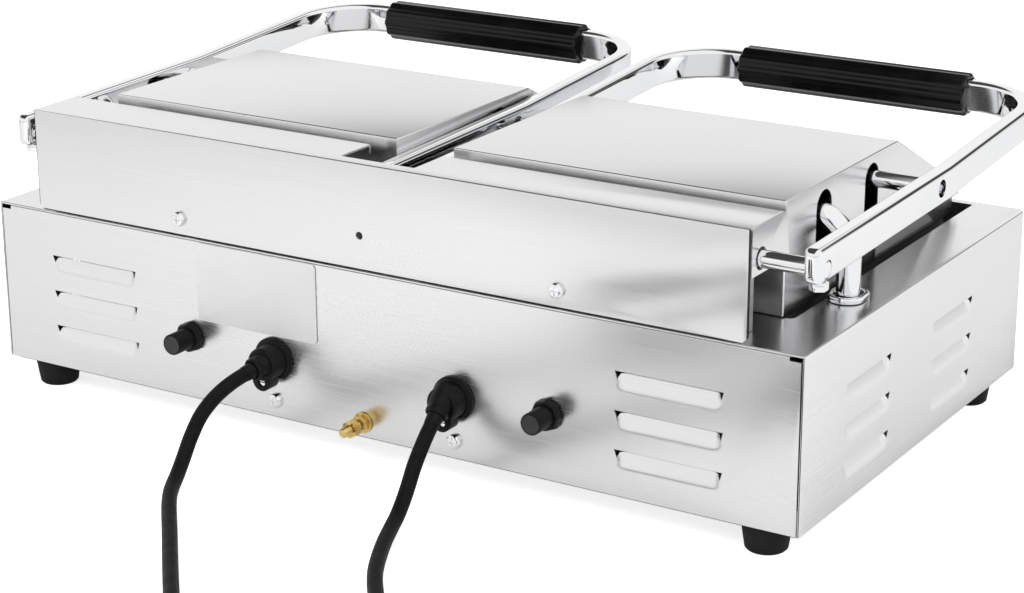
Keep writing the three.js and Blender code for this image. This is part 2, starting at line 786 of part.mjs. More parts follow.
function torsionSpring(side) {
  const length = springPitch * springTurns;
  const outer = side.sign * (housingHalf - springInset);
  const steps = springStepsPerTurn * springTurns;
  const coil = Array.from({ length: steps + 1 }, (_, i) => {
    const angle = Math.PI / 2 - (i / steps) * springTurns * 2 * Math.PI;
    return new THREE.Vector3(outer - side.sign * (i / steps) * length,
      shaftY + springRadius * Math.cos(angle), shaftHeight + springRadius * Math.sin(angle));
  });
  const [start, stop] = [coil[0], coil[steps]];
  const rearLeg = new THREE.Vector3(start.x, shaftY - springLeg, start.z);
  const frontLeg = new THREE.Vector3(stop.x, rearY - sheet - fitGap, stop.z);
  return tube([rearLeg, ...coil, frontLeg], springWire, springSides);
}

// Comb section of a ribbed plate: a slab from the back to the rib roots, then the ribs
function ribbed(half, back, roots, tips) {
  const pitch = (2 * half) / ribCount;
  const points = [[-half, back], [-half, roots]];
  for (let i = 0; i < ribCount; i += 1) {
    const x = -half + (i + 0.5) * pitch;
    points.push([x - (ribRootShare * pitch) / 2, roots], [x - (ribTipShare * pitch) / 2, tips],
      [x + (ribTipShare * pitch) / 2, tips], [x + (ribRootShare * pitch) / 2, roots]);
  }
  return [...points, [half, roots], [half, back]];
}

function lowerPlate(side) {
  const x = [-openingHalf, openingHalf];
  const y = [openingFrontY, openingRearY];
  const slab = block(grown(x, rimLap), grown(y, rimLap), [lowerBottom, rimTop]);
  const channel = block(grown(x, -channelLedge), grown(y, -channelLedge),
    [lowerBottom + channelFloor, overrun]);
  const half = openingHalf - channelLedge - channelWidth;
  const root = lowerBottom + channelFloor / 2;
  const grate = prism('y', ribbed(half, root, -contactDrop - ribHeight, -contactDrop),
    [lidLipY, openingRearY - channelLedge - channelWidth]);
  const drain = [-side.sign * (openingHalf - drainInset), (openingFrontY + lidLipY) / 2];
  const spout = rod('z', drain, drainRadius + spoutWall, [lowerBottom - spoutDrop, root]);
  const hole = rod('z', drain, drainRadius, [lowerBottom - spoutDrop - overrun, 0], smallSides);
  return cut(join(cut(slab, channel), grate, spout), hole);
}

// Tubular element bent to a flat loop whose two ends come out at the rear
function element(height) {
  const outer = openingHalf - elementSideMargin;
  const middle = (lugSpacing - lugThickness) / 2 - elementLugGap - elementRadius;
  const inner = elementInnerShare * outer;
  const back = openingRearY - elementMargin;
  const fore = lidLipY + elementMargin;
  const turnBack = fore + 2 * elementRadius + elementMargin;
  const half = [
    [inner, back], [inner, turnBack], [middle, turnBack], [middle, back], [outer, back], [outer, fore],
  ];
  const corners = [...half, ...half.map(([x, y]) => [-x, y]).reverse()];
  const places = corners.map(([x, y]) => new THREE.Vector3(x, y, height));
  return tube(roundedPath(places, elementCornerRadius, elementCornerSteps), elementRadius, tubeSides);
}

function upperPlate(side) {
  const half = lidInner - fitGap;
  const slab = prism('y', ribbed(half, upperTop, upperRoots, upperTips), [upperFrontY, upperRearY]);
  const lugHalf = rodRadius + lugWall;
  const lugs = [-1, 1].map((hand) => {
    const x = grown([(hand * lugSpacing) / 2, (hand * lugSpacing) / 2], lugThickness / 2);
    const outline = keyhole(rodY, rodHeight, lugHalf, upperTop - sheet);
    return cut(prism('x', outline, x), rod('x', [rodY, rodHeight], rodRadius + fitGap, grown(x, overrun)));
  });
  const inset = side.sign * (lidHalf - conduitLugInset);
  const x = around(inset, conduitLugThickness / 2);
  const outline = keyhole(conduitY, conduitHeight, conduitRadius + lugWall, upperTop - sheet);
  const conduitLug = cut(prism('x', outline, x),
    rod('x', [conduitY, conduitHeight], conduitRadius + fitGap, grown(x, overrun)));
  return join(slab, ...lugs, conduitLug);
}

function lidCover(side) {
  const slope = (lidHeight - lidLipHeight) / (lidDepth - lidFlatDepth);
  const flatY = lidRearY - lidFlatDepth;
  const lipBottom = lidLipHeight - lidLipDrop;
  const stepY = lidLipY + lidSkirtStepDepth;
  const stepHeight = lidSkirtHeight + lidSkirtStep;
  const outline = [[lidRearY, lidSkirtHeight], [lidRearY, lidHeight], [flatY, lidHeight],
    [lidFrontY, lidLipHeight], [lidFrontY, lipBottom], [lidLipY, lipBottom],
    [lidLipY, stepHeight], [stepY, stepHeight], [stepY, lidSkirtHeight]];
  const drop = sheet * Math.hypot(1, slope);
  const topInside = lidHeight - sheet;
  const slopeInside = (y) => lidHeight - drop - slope * (flatY - y);
  const hollow = [[lidRearY - sheet, -overrun], [lidRearY - sheet, topInside],
    [flatY - (lidHeight - drop - topInside) / slope, topInside],
    [lidFrontY + sheet, slopeInside(lidFrontY + sheet)], [lidFrontY + sheet, lipBottom + sheet],
    [lidLipY + sheet, lipBottom + sheet], [lidLipY + sheet, -overrun]];
  const skin = prism('x', outline, [-lidHalf, lidHalf]);
  const inside = prism('x', hollow, [-lidInner, lidInner]);
  const wall = [lidInner, lidHalf];
  const rodSlot = keyhole(rodY + rodSlotBack, slotTop - rodSlotHalf, rodSlotHalf, -overrun);
  const conduitSlot = keyhole(conduitY, slotTop - conduitSlotHalf, conduitSlotHalf, -overrun);
  const span = (sign) => grown([sign * wall[0], sign * wall[1]].sort((a, b) => a - b), overrun);
  return cut(skin, inside, prism('x', rodSlot, span(1)), prism('x', rodSlot, span(-1)),
    prism('x', conduitSlot, span(side.sign)));
}

// Height of the middle of the bar above the base, level at the rear and climbing in front
function armRise(y) {
  if (y > armKneeY) {
    const share = (y - armKneeY) / (shaftY + armTail - armKneeY);
    return rodHeight + share * (armRearHeight - rodHeight);
  }
  return rodHeight + ((armKneeY - y) / (armKneeY - handleFrontY)) * (armFrontHeight - rodHeight);
}

const localX = (side, offset) => side.sign * (offset - lidOffset);

function handleBar(side) {
  const [outer, inner] = [localX(side, outerArm), localX(side, innerArm)];
  const tail = shaftY + armTail;
  const corners = [[outer, tail], [outer, handleFrontY], [inner, handleFrontY], [inner, tail]]
    .map(([x, y]) => new THREE.Vector3(x, y, 0));
  const plan = roundedPath(corners, handleBend, handleBendSteps);
  plan.splice(1, 0, new THREE.Vector3(outer, armKneeY, 0));
  plan.splice(plan.length - 1, 0, new THREE.Vector3(inner, armKneeY, 0));
  const section = roundedBox(around(0, armThickness / 2), around(0, armHeight / 2),
    armEdgeRadius, armEdgeSteps);
  const rings = plan.map((point, i) => {
    const ahead = plan[Math.min(i + 1, plan.length - 1)].clone().sub(plan[Math.max(i - 1, 0)]).normalize();
    const across = new THREE.Vector3(ahead.y, -ahead.x, 0);
    const middle = point.clone().setZ(armRise(point.y));
    return section.map(([u, v]) => middle.clone().addScaledVector(across, u).setZ(middle.z + v));
  });
  const wide = [-outerArm - armThickness, outerArm + armThickness];
  const rodBore = rod('x', [rodY, rodHeight], rodRadius + fitGap, wide);
  const shaftBore = rod('x', [shaftY, shaftHeight], shaftRadius + fitGap, wide);
  // The inner arm ends in a round tail that turns inside the housing
  const tailX = around(inner, armThickness);
  const square = block(tailX, [shaftY, tail + overrun], around(shaftHeight, 2 * armHeight));
  const round = rod('x', [shaftY, shaftHeight], innerTailRadius, grown(tailX, overrun));
  const bolts = [outer, inner].map((x) => rod('z', [x, shaftY], screwRadius + fitGap,
    [0, shaftHeight], smallSides));
  return cut(loft(rings), rodBore, shaftBore, cut(square, round), ...bolts);
}

function grip() {
  const middle = (localX(sides[1], outerArm) + localX(sides[1], innerArm)) / 2;
  const count = gripStepsPerFlute * gripFlutes;
  const ring = (x, shrink) => Array.from({ length: count }, (_, i) => {
    const angle = (i / count) * 2 * Math.PI;
    const flute = gripFluteDepth * Math.sin((angle * gripFlutes) / 2) ** 2;
    const radius = gripRadius - flute - shrink;
    const [forward, up] = [radius * Math.cos(angle), radius * Math.sin(angle)];
    return new THREE.Vector3(x, handleFrontY + forward, armFrontHeight + up);
  });
  const [from, to] = around(middle, gripLength / 2);
  const body = loft([ring(from, gripChamfer), ring(from + gripChamfer, 0), ring(to - gripChamfer, 0),
    ring(to, gripChamfer)]);
  const hole = roundedBox(around(handleFrontY, armThickness / 2 + fitGap),
    around(armFrontHeight, armHeight / 2 + fitGap), armEdgeRadius, gripHoleSteps);
  return { solid: cut(body, prism('x', hole, grown([from, to], overrun))), middle };
}

// Cross shaft with the two clamp bolts that hold the arms on it
function hingeShaft(side, span) {
  const under = armRise(shaftY) - armHeight / 2 - fitGap;
  const bolts = [outerArm, innerArm].map((offset) => {
    const x = localX(side, offset);
    const low = under - nutThickness;
    const head = rod('z', [x, shaftY], nutRadius, [low, under], hexagon);
    return join(head, rod('z', [x, shaftY], screwRadius, [low, shaftHeight], smallSides));
  });
  return join(rod('x', [shaftY, shaftHeight], shaftRadius, span), ...bolts);
}

function conduitTube(side) {
  const inner = side.sign * (lidHalf - conduitReach);
  const outer = localX(side, conduitOffset);
  const corners = [[inner, conduitHeight], [outer, conduitHeight], [outer, conduitFootClear - baseHeight]]
    .map(([x, z]) => new THREE.Vector3(x, conduitY, z));
  return tube(roundedPath(corners, conduitBend, conduitBendSteps), conduitRadius, smallSides);
}

// Slot that the leaning tube sweeps, as an outline in x and y round its foot
function swaySlot(radius) {
  return stadium(0, -conduitSwayBack, radius, conduitSway);
}

function conduitCollar() {
  const bore = swaySlot(conduitRadius + conduitSlotGap);
  return prism('z', swaySlot(conduitRadius + collarWall), [fitGap, fitGap + collarHeight], [bore]);
}

// Cord outlet clamped in the rear panel, with a lobe below for its clamping block
function cordGland(side) {
  const face = fitGap + glandFlange + glandTurret;
  const flange = cut(rod('y', [0, 0], glandFlangeRadius, [fitGap, fitGap + glandFlange], roundSides),
    block(around(0, glandFlangeRadius), grown([0, face], overrun), [-glandFlangeRadius, -glandFlat]));
  const spigot = rod('y', [0, 0], glandSpigotRadius, [-glandSpigot, glandFlange]);
  const turret = rod('y', [0, 0], glandTurretRadius, [fitGap, face], roundSides);
  const lobe = keyhole(0, glandLobeDrop, glandLobeRadius, 0).map(([x, z]) => [x, -z]);
  const outletLength = glandTurret + reliefReach;
  const outlet = turned('z', [[0, 0], [reliefRootRadius, 0], [reliefRootRadius, glandTurret],
    [reliefTipRadius, outletLength], [0, outletLength]]);
  const { way, mouth } = exitOf(side);
  outlet.applyQuaternion(new THREE.Quaternion().setFromUnitVectors(new THREE.Vector3(0, 0, 1), way));
  const root = mouth.clone().addScaledVector(way, -outletLength);
  outlet.translate(...root.toArray());
  const tidyBack = block(around(0, glandFlangeRadius), [-glandFlangeRadius, fitGap],
    around(0, glandFlangeRadius));
  const front = cut(join(flange, turret, prism('y', lobe, [glandLobeBack, face - fitGap]), outlet), tidyBack);
  return join(front, spigot);
}

// Way out of a gland and the middle of its mouth, from the middle of its flange
function exitOf(side) {
  const { droop, turn } = cordExits[side.name];
  const [down, aside] = [droop, turn].map(THREE.MathUtils.degToRad);
  const level = Math.cos(down);
  const way = new THREE.Vector3(level * Math.sin(aside), level * Math.cos(aside), -Math.sin(down));
  const face = fitGap + glandFlange + glandTurret;
  const mouth = new THREE.Vector3(0, face, 0).addScaledVector(way, reliefReach);
  return { way, mouth };
}

function cordStart(side) {
  const { way, mouth } = exitOf(side);
  const across = rearCentre + (side.sign * glandSpacing) / 2;
  const gland = new THREE.Vector3(across, rearY, baseBottom + glandHeight);
  return { way, from: gland.add(mouth).addScaledVector(way, fitGap) };
}

const coilWay = new THREE.Vector3(0, 1, 0)
  .applyAxisAngle(new THREE.Vector3(0, 0, 1), THREE.MathUtils.degToRad(coilHeading));
const cordRest = cordRadius + floorGap;
const cordDiameter = 2 * cordRadius;

function looseCord(side) {
  const { way, from } = cordStart(side);
  const coil = new THREE.Vector3(...coilPlaces[side.name], cordRest);
  const to = coil.addScaledVector(coilWay, -cordDiameter - fitGap);
  const route = [
    from, from.clone().addScaledVector(way, cordRadius),
    ...cordRoutes[side.name].map((point) => new THREE.Vector3(...point)),
    to.clone().addScaledVector(coilWay, -cordRadius), to,
  ];
  const curve = new THREE.CatmullRomCurve3(route, false, 'centripetal');
  const round = circle(0, 0, cordRadius, cordSides).map(([u, v]) => new THREE.Vector2(u, v));
  const settings = { steps: cordSteps, bevelEnabled: false, extrudePath: curve };
  return new THREE.ExtrudeGeometry(new THREE.Shape(round), settings);
}

// Middle line of a coil: in along the floor, up a layer where it turns back, and out on top.
// It starts at the origin going along +Y, with its middle on the +X side for a hand of 1.
const coilPitch = cordDiameter + coilGap;

function coilLine(hand) {
  const half = coilTurns / 2;
  const ramp = (t) => THREE.MathUtils.smoothstep(t, half - coilClimbShare, half + coilClimbShare);
  const loops = Array.from({ length: coilTurns * coilSteps + 1 }, (_, i) => {
    const t = i / coilSteps;
    const radius = coilRadius - coilPitch * Math.min(t, coilTurns - t);
    const angle = 2 * Math.PI * t;
    return new THREE.Vector3(
      hand * (coilRadius - radius * Math.cos(angle)), radius * Math.sin(angle), coilPitch * ramp(t));
  });
  const lead = new THREE.Vector3(0, -cordDiameter, 0);
  return [lead, ...loops, new THREE.Vector3(0, coilLead, coilPitch)];
}

// Least air between stretches of the line that lie more than half a turn apart
function leastGap(line) {
  let least = Infinity;
  for (let i = 0; i < line.length; i += 1) {
    for (let j = i + coilSteps / 2; j < line.length; j += 1) {
      least = Math.min(least, line[i].distanceTo(line[j]));
    }
  }
  return least - cordDiameter;
}

// Moulded plug lying on its back, pins up, with the cord coming in along +Y at the origin
function plug() {
  const half = plugWidth / 2;
  const bottom = floorGap - cordRest - coilPitch;
  const end = plugNose + plugLength;
  const top = bottom + plugHeight;
  const outline = roundedBox([-half, half], [plugNose, end], plugCorner, plugCornerSteps);
  const body = prism('z', outline, [bottom, top]);
  const noseRoot = plugNose + plugCorner;
  const nose = turned('z', [[0, 0], [reliefTipRadius, 0], [plugNoseRadius, plugNose],
    [plugNoseRadius, noseRoot], [0, noseRoot]]);
  nose.rotateX(-Math.PI / 2);
  const row = plugNose + pinInset;
  const pin = (x, y, width, deep, length) => block(
    around(x, width / 2), around(y, deep / 2), [top - deep, top + length]);
  return join(body, nose,
    pin(-pinRow, row, pinWidth, pinThickness, pinLength),
    pin(pinRow, row, pinWidth, pinThickness, pinLength),
    pin(0, row + earthPinForward, pinThickness, earthPinWidth, pinLength + earthPinLonger));
}

// Bonding stud with its washer and two hexagon nuts
function terminalStud() {
  const nut = (at) => rod('y', [0, 0], nutRadius, [at, at + nutThickness], hexagon);
  return join(
    rod('y', [0, 0], studRadius, [-studDepth, studReach]),
    rod('y', [0, 0], washerRadius, [fitGap, fitGap + washerThickness]),
    nut(fitGap + washerThickness), nut(outerNutAt));
}

function resetCollar() {
  const body = rod('y', [0, 0], resetBodyRadius, [-resetBody, resetCollarReach]);
  const collar = rod('y', [0, 0], resetCollarRadius, [fitGap, resetCollarReach], roundSides);
  const bore = rod('y', [0, 0], resetButtonRadius + fitGap, [-resetBore, resetCollarReach + overrun]);
  return cut(join(body, collar), bore);
}

function resetButton() {
  return rod('y', [0, 0], resetButtonRadius, [resetTravel + fitGap - resetBore, resetReach]);
}

function terminalBlock() {
  const pitch = blockWidth / blockTerminals;
  const low = blockHeight - blockStep;
  const half = blockWidth / 2;
  const comb = Array.from({ length: blockTerminals }, (_, i) => {
    const [from, to] = around((i + 0.5) * pitch - half, (blockPostShare * pitch) / 2);
    return [[from, low], [from, blockHeight], [to, blockHeight], [to, low]];
  }).flat();
  return prism('y', [[-half, 0], [-half, low], ...comb, [half, low], [half, 0]], [0, blockDepth]);
}

// Front fittings, with the front face of the panel at y = 0 and the inside towards +Y
function thermostat() {
  const back = sheet + fitGap;
  const body = rod('y', [0, 0], thermostatRadius, [back, back + thermostatDepth], roundSides);
  const bush = rod('y', [0, 0], bushRadius, [-bushReach, back + bushReach]);
  const bore = rod('y', [0, 0], stemRadius + fitGap, [-bushReach - overrun, stemReach + fitGap]);
  return cut(join(body, bush), bore);
}

function knob() {
  const face = knobGap + knobDepth;
  const [bore, boreEnd] = [bushRadius + fitGap, bushReach + 2 * fitGap];
  const profile = [[bore, knobGap], [knobRadius, knobGap], [knobRadius, knobGap + knobRim],
    [knobFaceRadius, face], [0, face], [0, boreEnd], [bore, boreEnd], [bore, knobGap]];
  const skirt = turned('z', profile);
  skirt.rotateX(Math.PI / 2);
  const ridge = block(around(0, knobRidge / 2), [-face - knobRidge, -face + knobRim],
    around(0, knobFaceRadius - fitGap));
  return join(skirt, ridge, rod('y', [0, 0], stemRadius, [-face + knobRim, stemReach]));
}

function switchHousing() {
  const wide = switchWidth / 2;
  const tall = switchTall / 2;
  const frame = block([-wide, wide], [-bezelDepth - fitGap, -fitGap], [-tall, tall]);
  const body = block([bezel - wide, wide - bezel], [-bezelDepth, switchDepth], [bezel - tall, tall - bezel]);
  const pocket = block(around(0, wide - bezel - rockerWall), [-bezelDepth - overrun, rockerPocket],
    around(0, tall - bezel - rockerWall));
  return cut(join(frame, body), pocket);
}

// Rocker standing on its pivot at the origin, its face towards -Y
function rocker() {
  const half = switchTall / 2 - bezel - rockerWall - 2 * fitGap;
  const face = [[-rockerReach, -half], [-rockerReach + rockerHollow, 0], [-rockerReach, half]];
  const keel = [[rockerHollow, half], [rockerKeel, 0], [rockerHollow, -half]];
  return prism('x', [...face, ...keel], around(0, switchWidth / 2 - bezel - rockerWall - fitGap));
}

function indicatorLamp() {
  const [rim, rimFace] = [lampRadius + lampCollar, fitGap + lampCollar];
  const dome = lampCollar + lampDome;
  const profile = [[0, -lampDepth], [lampRadius, -lampDepth], [lampRadius, fitGap], [rim, fitGap],
    [rim, rimFace], [lampRadius, rimFace], [lampDomeShare * lampRadius, dome], [0, dome + fitGap]];
  return turned('z', profile, barSides).rotateX(Math.PI / 2);
}

// Open tray behind a front plate with a pull along its top edge
function dripTray() {
  const half = trayWidth / 2;
  const plate = [-fitGap - trayPlate, -fitGap];
  const tub = cut(block([-half, half], [plate[0] + trayWall, trayDepth], [0, trayHeight]),
    block([trayWall - half, half - trayWall], [trayWall, trayDepth - trayWall],
      [trayWall, trayHeight + overrun]));
  const plateTop = trayHeight + trayPlateRise;
  const face = block(grown([-half, half], trayPlateSide), plate, [-trayPlateLap, plateTop]);
  const pull = block(around(0, trayPullHalf), [plate[0] - trayPull, plate[1]],
    [plateTop - trayPullHeight, plateTop]);
  return join(tub, face, pull);
}

for (const side of sides) {
  const head = heads[side.name];
  const { solid, middle } = grip();
  add(head, `lower_plate_${side.name}`, lowerPlate(side), 'castIron');
  add(head, `lower_element_${side.name}`, element(lowerBottom - fitGap - elementRadius), 'steel');
  add(head, `lid_cover_${side.name}`, lidCover(side), 'brushed');
  add(head, `upper_plate_${side.name}`, upperPlate(side), 'castIron');
  add(head, `upper_element_${side.name}`, element(upperTop + fitGap + elementRadius), 'steel');
  add(head, `handle_bar_${side.name}`, handleBar(side), 'chrome');
  add(head, `grip_${side.name}`, solid, 'blackPlastic', [(side.sign - 1) * middle, 0, 0]);
  const outerFace = localX(side, outerArm + armThickness / 2);
  const innerFace = localX(side, innerArm - armThickness / 2);
  const shaftSpan = [innerFace, outerFace].sort((a, b) => a - b);
  add(head, `hinge_shaft_${side.name}`, hingeShaft(side, shaftSpan), 'chrome');
  add(head, `pivot_rod_${side.name}`,
    rod('x', [rodY, rodHeight], rodRadius, grown(shaftSpan, -rodRecess)), 'chrome');
  add(head, `conduit_tube_${side.name}`, conduitTube(side), 'chrome');
  add(deck, `conduit_collar_${side.name}`, conduitCollar(), 'chrome', [conduitX(side), conduitY, 0]);
  add(deck, `shaft_bracket_${side.name}`, shaftBracket(side), 'steel');
  add(deck, `torsion_spring_${side.name}`, torsionSpring(side), 'steel');
}

add(appliance, 'base_shell', baseShell(), 'brushed');
add(appliance, 'rear_panel', rearPanel(), 'brushed');
add(appliance, 'bottom_panel', bottomPanel(), 'steel');
add(deck, 'hinge_housing', hingeHousing(), 'brushed');
for (const side of sides) {
  for (const end of ends) {
    add(appliance, `foot_${end.name}_${side.name}`, foot(), 'blackRubber',
      [...footSpot(side, end), 0]);
  }
}

for (const side of sides) {
  const x = (spacing) => (side.sign * spacing) / 2;
  add(rear, `cord_gland_${side.name}`, cordGland(side), 'blackPlastic', [x(glandSpacing), 0, glandHeight]);
  add(rear, `reset_collar_${side.name}`, resetCollar(), 'blackPlastic', [x(resetSpacing), 0, resetHeight]);
  add(rear, `reset_button_${side.name}`, resetButton(), 'blackPlastic', [x(resetSpacing), 0, resetHeight]);
  add(front, `thermostat_${side.name}`, thermostat(), 'blackPlastic', [knobX(side), 0, controlHeight]);
  add(front, `knob_${side.name}`, knob(), 'blackPlastic', [knobX(side), 0, controlHeight]);
  add(front, `switch_housing_${side.name}`, switchHousing(), 'blackPlastic',
    [switchX(side), 0, controlHeight]);
  const lever = add(front, `rocker_${side.name}`, rocker(), 'blackPlastic',
    [switchX(side), rockerPivotDepth, controlHeight]);
  lever.rotation.x = THREE.MathUtils.degToRad(rockerSwing);
  add(front, `indicator_lamp_${side.name}`, indicatorLamp(), 'lens', [lampX(side), 0, controlHeight]);

  const hand = side.sign;
  const line = coilLine(hand);
  console.log(`coil_${side.name}: least gap to itself ${leastGap(line).toFixed(2)} mm`);
  const bundle = new THREE.Group();
  bundle.position.set(...coilPlaces[side.name], cordRest);
  bundle.rotation.z = THREE.MathUtils.degToRad(coilHeading);
  cords.add(bundle);
  add(cords, `cord_${side.name}`, looseCord(side), 'blackRubber');
  add(bundle, `coil_${side.name}`, tube(line, cordRadius, coilSides), 'blackRubber');
  add(bundle, `plug_${side.name}`, plug(), 'blackPlastic', [0, coilLead + fitGap, coilPitch]);
}

add(rear, 'terminal_stud', terminalStud(), 'brass', [0, 0, studHeight]);
add(rear, 'rating_plate', block(around(labelOffset, labelWidth / 2), [fitGap, fitGap + labelThickness],
  around(labelMiddle, labelHeight / 2)), 'label');
add(rear, 'terminal_block', terminalBlock(), 'ceramic',
  [0, -blockInset - blockDepth, sheet + fitGap]);
add(front, 'drip_tray', dripTray(), 'steel', [0, 0, trayFloorHeight]);

// The origin is on the floor under the middle of the appliance
const middle = new THREE.Box3().expandByObject(appliance, true).getCenter(new THREE.Vector3());
grill.position.set(-middle.x, -middle.y, 0);

export default grill;
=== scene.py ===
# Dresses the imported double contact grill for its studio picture. Metres, +Z up, front towards -Y.
import json
import math

import bpy
import numpy as np
from mathutils import Matrix, Vector


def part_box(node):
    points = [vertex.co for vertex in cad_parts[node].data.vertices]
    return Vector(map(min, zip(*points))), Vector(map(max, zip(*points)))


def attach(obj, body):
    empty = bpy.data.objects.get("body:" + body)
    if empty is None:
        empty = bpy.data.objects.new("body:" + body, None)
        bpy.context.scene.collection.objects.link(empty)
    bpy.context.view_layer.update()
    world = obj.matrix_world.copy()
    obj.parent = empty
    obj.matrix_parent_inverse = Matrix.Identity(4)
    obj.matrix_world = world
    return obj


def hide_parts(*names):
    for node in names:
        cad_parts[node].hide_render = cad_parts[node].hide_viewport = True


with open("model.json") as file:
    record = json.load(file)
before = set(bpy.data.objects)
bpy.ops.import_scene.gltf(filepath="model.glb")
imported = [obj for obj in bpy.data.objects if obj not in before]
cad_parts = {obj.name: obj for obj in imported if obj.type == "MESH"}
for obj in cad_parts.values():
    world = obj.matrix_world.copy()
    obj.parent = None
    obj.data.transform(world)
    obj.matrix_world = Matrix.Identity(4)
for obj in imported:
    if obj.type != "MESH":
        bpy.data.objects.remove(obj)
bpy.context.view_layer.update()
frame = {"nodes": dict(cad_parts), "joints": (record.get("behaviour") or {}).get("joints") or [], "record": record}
nodes = frame["nodes"]
pivots = {joint["name"]: Vector(joint["pos_m"]) for joint in frame["joints"] if "pos_m" in joint}
bodies = frame["record"]["behaviour"]["bodies"]
bodyOf = {nodeName: body for body, names in bodies.items() for nodeName in names}
sides = {"left": -1, "right": 1}
rearY = 0.167675
frontY = -0.154325
backward = (0, 1, 0)
forward = (0, -1, 0)
print("frame loaded:", len(nodes), "nodes")


cameraPlace = {"spot": (-0.8110, 1.3078, 0.5717), "turn": 211.95, "rise": 18.42, "roll": -0.23,
               "lens": 88.16, "sensor": 36, "far": 50}


def placeCamera():
    bpy.ops.object.camera_add(location=cameraPlace["spot"])
    camera = bpy.context.object
    camera.rotation_euler = (
        Matrix.Rotation(math.radians(cameraPlace["turn"]), 3, "Z")
        @ Matrix.Rotation(math.radians(90 - cameraPlace["rise"]), 3, "X")
        @ Matrix.Rotation(math.radians(cameraPlace["roll"]), 3, "Z")
    ).to_euler()
    camera.data.lens = cameraPlace["lens"]
    camera.data.sensor_width = cameraPlace["sensor"]
    camera.data.clip_end = cameraPlace["far"]
    bpy.context.scene.camera = camera


placeCamera()


def makeActive(obj):
    for other in list(bpy.context.selected_objects):
        other.select_set(False)
    obj.select_set(True)
    bpy.context.view_layer.objects.active = obj
    return obj


def newObject(name, data):
    obj = bpy.data.objects.new(name, data)
    bpy.context.scene.collection.objects.link(obj)
    return obj


def applyModifier(obj, kind, **settings):
    makeActive(obj)
    bpy.ops.object.modifier_add(type=kind)
    modifier = obj.modifiers[-1]
    for key, value in settings.items():
        setattr(modifier, key, value)
    bpy.ops.object.modifier_apply(modifier=modifier.name)
    return obj


def applyPlace(obj):
    makeActive(obj)
    bpy.ops.object.transform_apply(location=True, rotation=True, scale=True)
    return obj


def softEdges(obj, width, segments=2, angle=50):
    return applyModifier(obj, "BEVEL", width=width, segments=segments, limit_method="ANGLE",
                         angle_limit=math.radians(angle), use_clamp_overlap=True)


# Joins, cuts or crosses a piece with others, which are used up
def combine(obj, operation, *others):
    for other in others:
        applyModifier(obj, "BOOLEAN", operation=operation, solver="EXACT", object=other)
        bpy.data.objects.remove(other, do_unlink=True)
    return obj


def carve(obj, *cutters):
    return combine(obj, "DIFFERENCE", *cutters)


def joinAll(*objs):
    makeActive(objs[0])
    for obj in objs[1:]:
        obj.select_set(True)
    bpy.ops.object.join()
    return bpy.context.object


weld = 0.00001


def tidyMesh(obj):
    makeActive(obj)
    bpy.ops.object.mode_set(mode="EDIT")
    bpy.ops.mesh.select_all(action="SELECT")
    bpy.ops.mesh.remove_doubles(threshold=weld)
    bpy.ops.mesh.normals_make_consistent(inside=False)
    bpy.ops.object.mode_set(mode="OBJECT")
    return obj


axisTurns = {"x": (0, math.pi / 2, 0), "y": (math.pi / 2, 0, 0), "z": (0, 0, 0)}


def bar(axis, spot, radius, length, facets=48):
    bpy.ops.mesh.primitive_cylinder_add(vertices=facets, radius=radius, depth=length, location=spot,
                                        rotation=axisTurns[axis])
    return bpy.context.object


def brick(spot, size):
    bpy.ops.mesh.primitive_cube_add(size=1, location=spot, scale=size)
    return bpy.context.object


# Turns an outline of (radius, along) points round an axis
def turned(outline, spot, way, steps=48):
    mesh = bpy.data.meshes.new("outline")
    mesh.from_pydata([(radius, 0, along) for radius, along in outline],
                     [(i, i + 1) for i in range(len(outline) - 1)], [])
    obj = newObject("outline", mesh)
    applyModifier(obj, "SCREW", axis="Z", angle=2 * math.pi, steps=steps, render_steps=steps,
                  use_merge_vertices=True, merge_threshold=weld)
    obj.rotation_mode = "QUATERNION"
    obj.rotation_quaternion = Vector(way).to_track_quat("Z", "Y")
    obj.location = spot
    applyPlace(obj)
    return tidyMesh(obj)


def addSpline(curve, places, closed=False):
    spline = curve.splines.new("POLY")
    spline.points.add(len(places) - 1)
    for point, place in zip(spline.points, places):
        point.co = (*place, 1)
    spline.use_cyclic_u = closed


# Sweeps an outline of (across, up) points along a path, or a round one where a radius is given
def swept(path, outline=None, radius=None, resolution=None):
    curve = bpy.data.curves.new("path", "CURVE")
    curve.dimensions = "3D"
    curve.twist_mode = "Z_UP" if outline else "MINIMUM"
    addSpline(curve, path)
    section = None
    if outline:
        shape = bpy.data.curves.new("section", "CURVE")
        addSpline(shape, [(across, up, 0) for across, up in outline], closed=True)
        section = newObject("section", shape)
        curve.bevel_mode = "OBJECT"
        curve.bevel_object = section
    else:
        curve.bevel_depth = radius
        curve.bevel_resolution = resolution
    curve.use_fill_caps = True
    makeActive(newObject("path", curve))
    bpy.ops.object.convert(target="MESH")
    obj = bpy.context.object
    if section:
        bpy.data.objects.remove(section, do_unlink=True)
    return tidyMesh(obj)


# Rounded corner points of a flat path or outline
def rounded(corners, radius, steps, closed=False):
    points = []
    count = len(corners)
    for i, corner in enumerate(corners):
        if not closed and i in (0, count - 1):
            points.append(Vector(corner))
            continue
        here = Vector(corner)
        back = (Vector(corners[i - 1]) - here).normalized()
        ahead = (Vector(corners[(i + 1) % count]) - here).normalized()
        half = back.angle(ahead) / 2
        middle = here + (back + ahead).normalized() * (radius / math.sin(half))
        start = here + back * (radius / math.tan(half)) - middle
        stop = here + ahead * (radius / math.tan(half)) - middle
        sweep = start.angle(stop)
        for k in range(steps + 1):
            t = k / steps
            arm = start * math.sin((1 - t) * sweep) + stop * math.sin(t * sweep)
            points.append(middle + arm / math.sin(sweep))
    return points


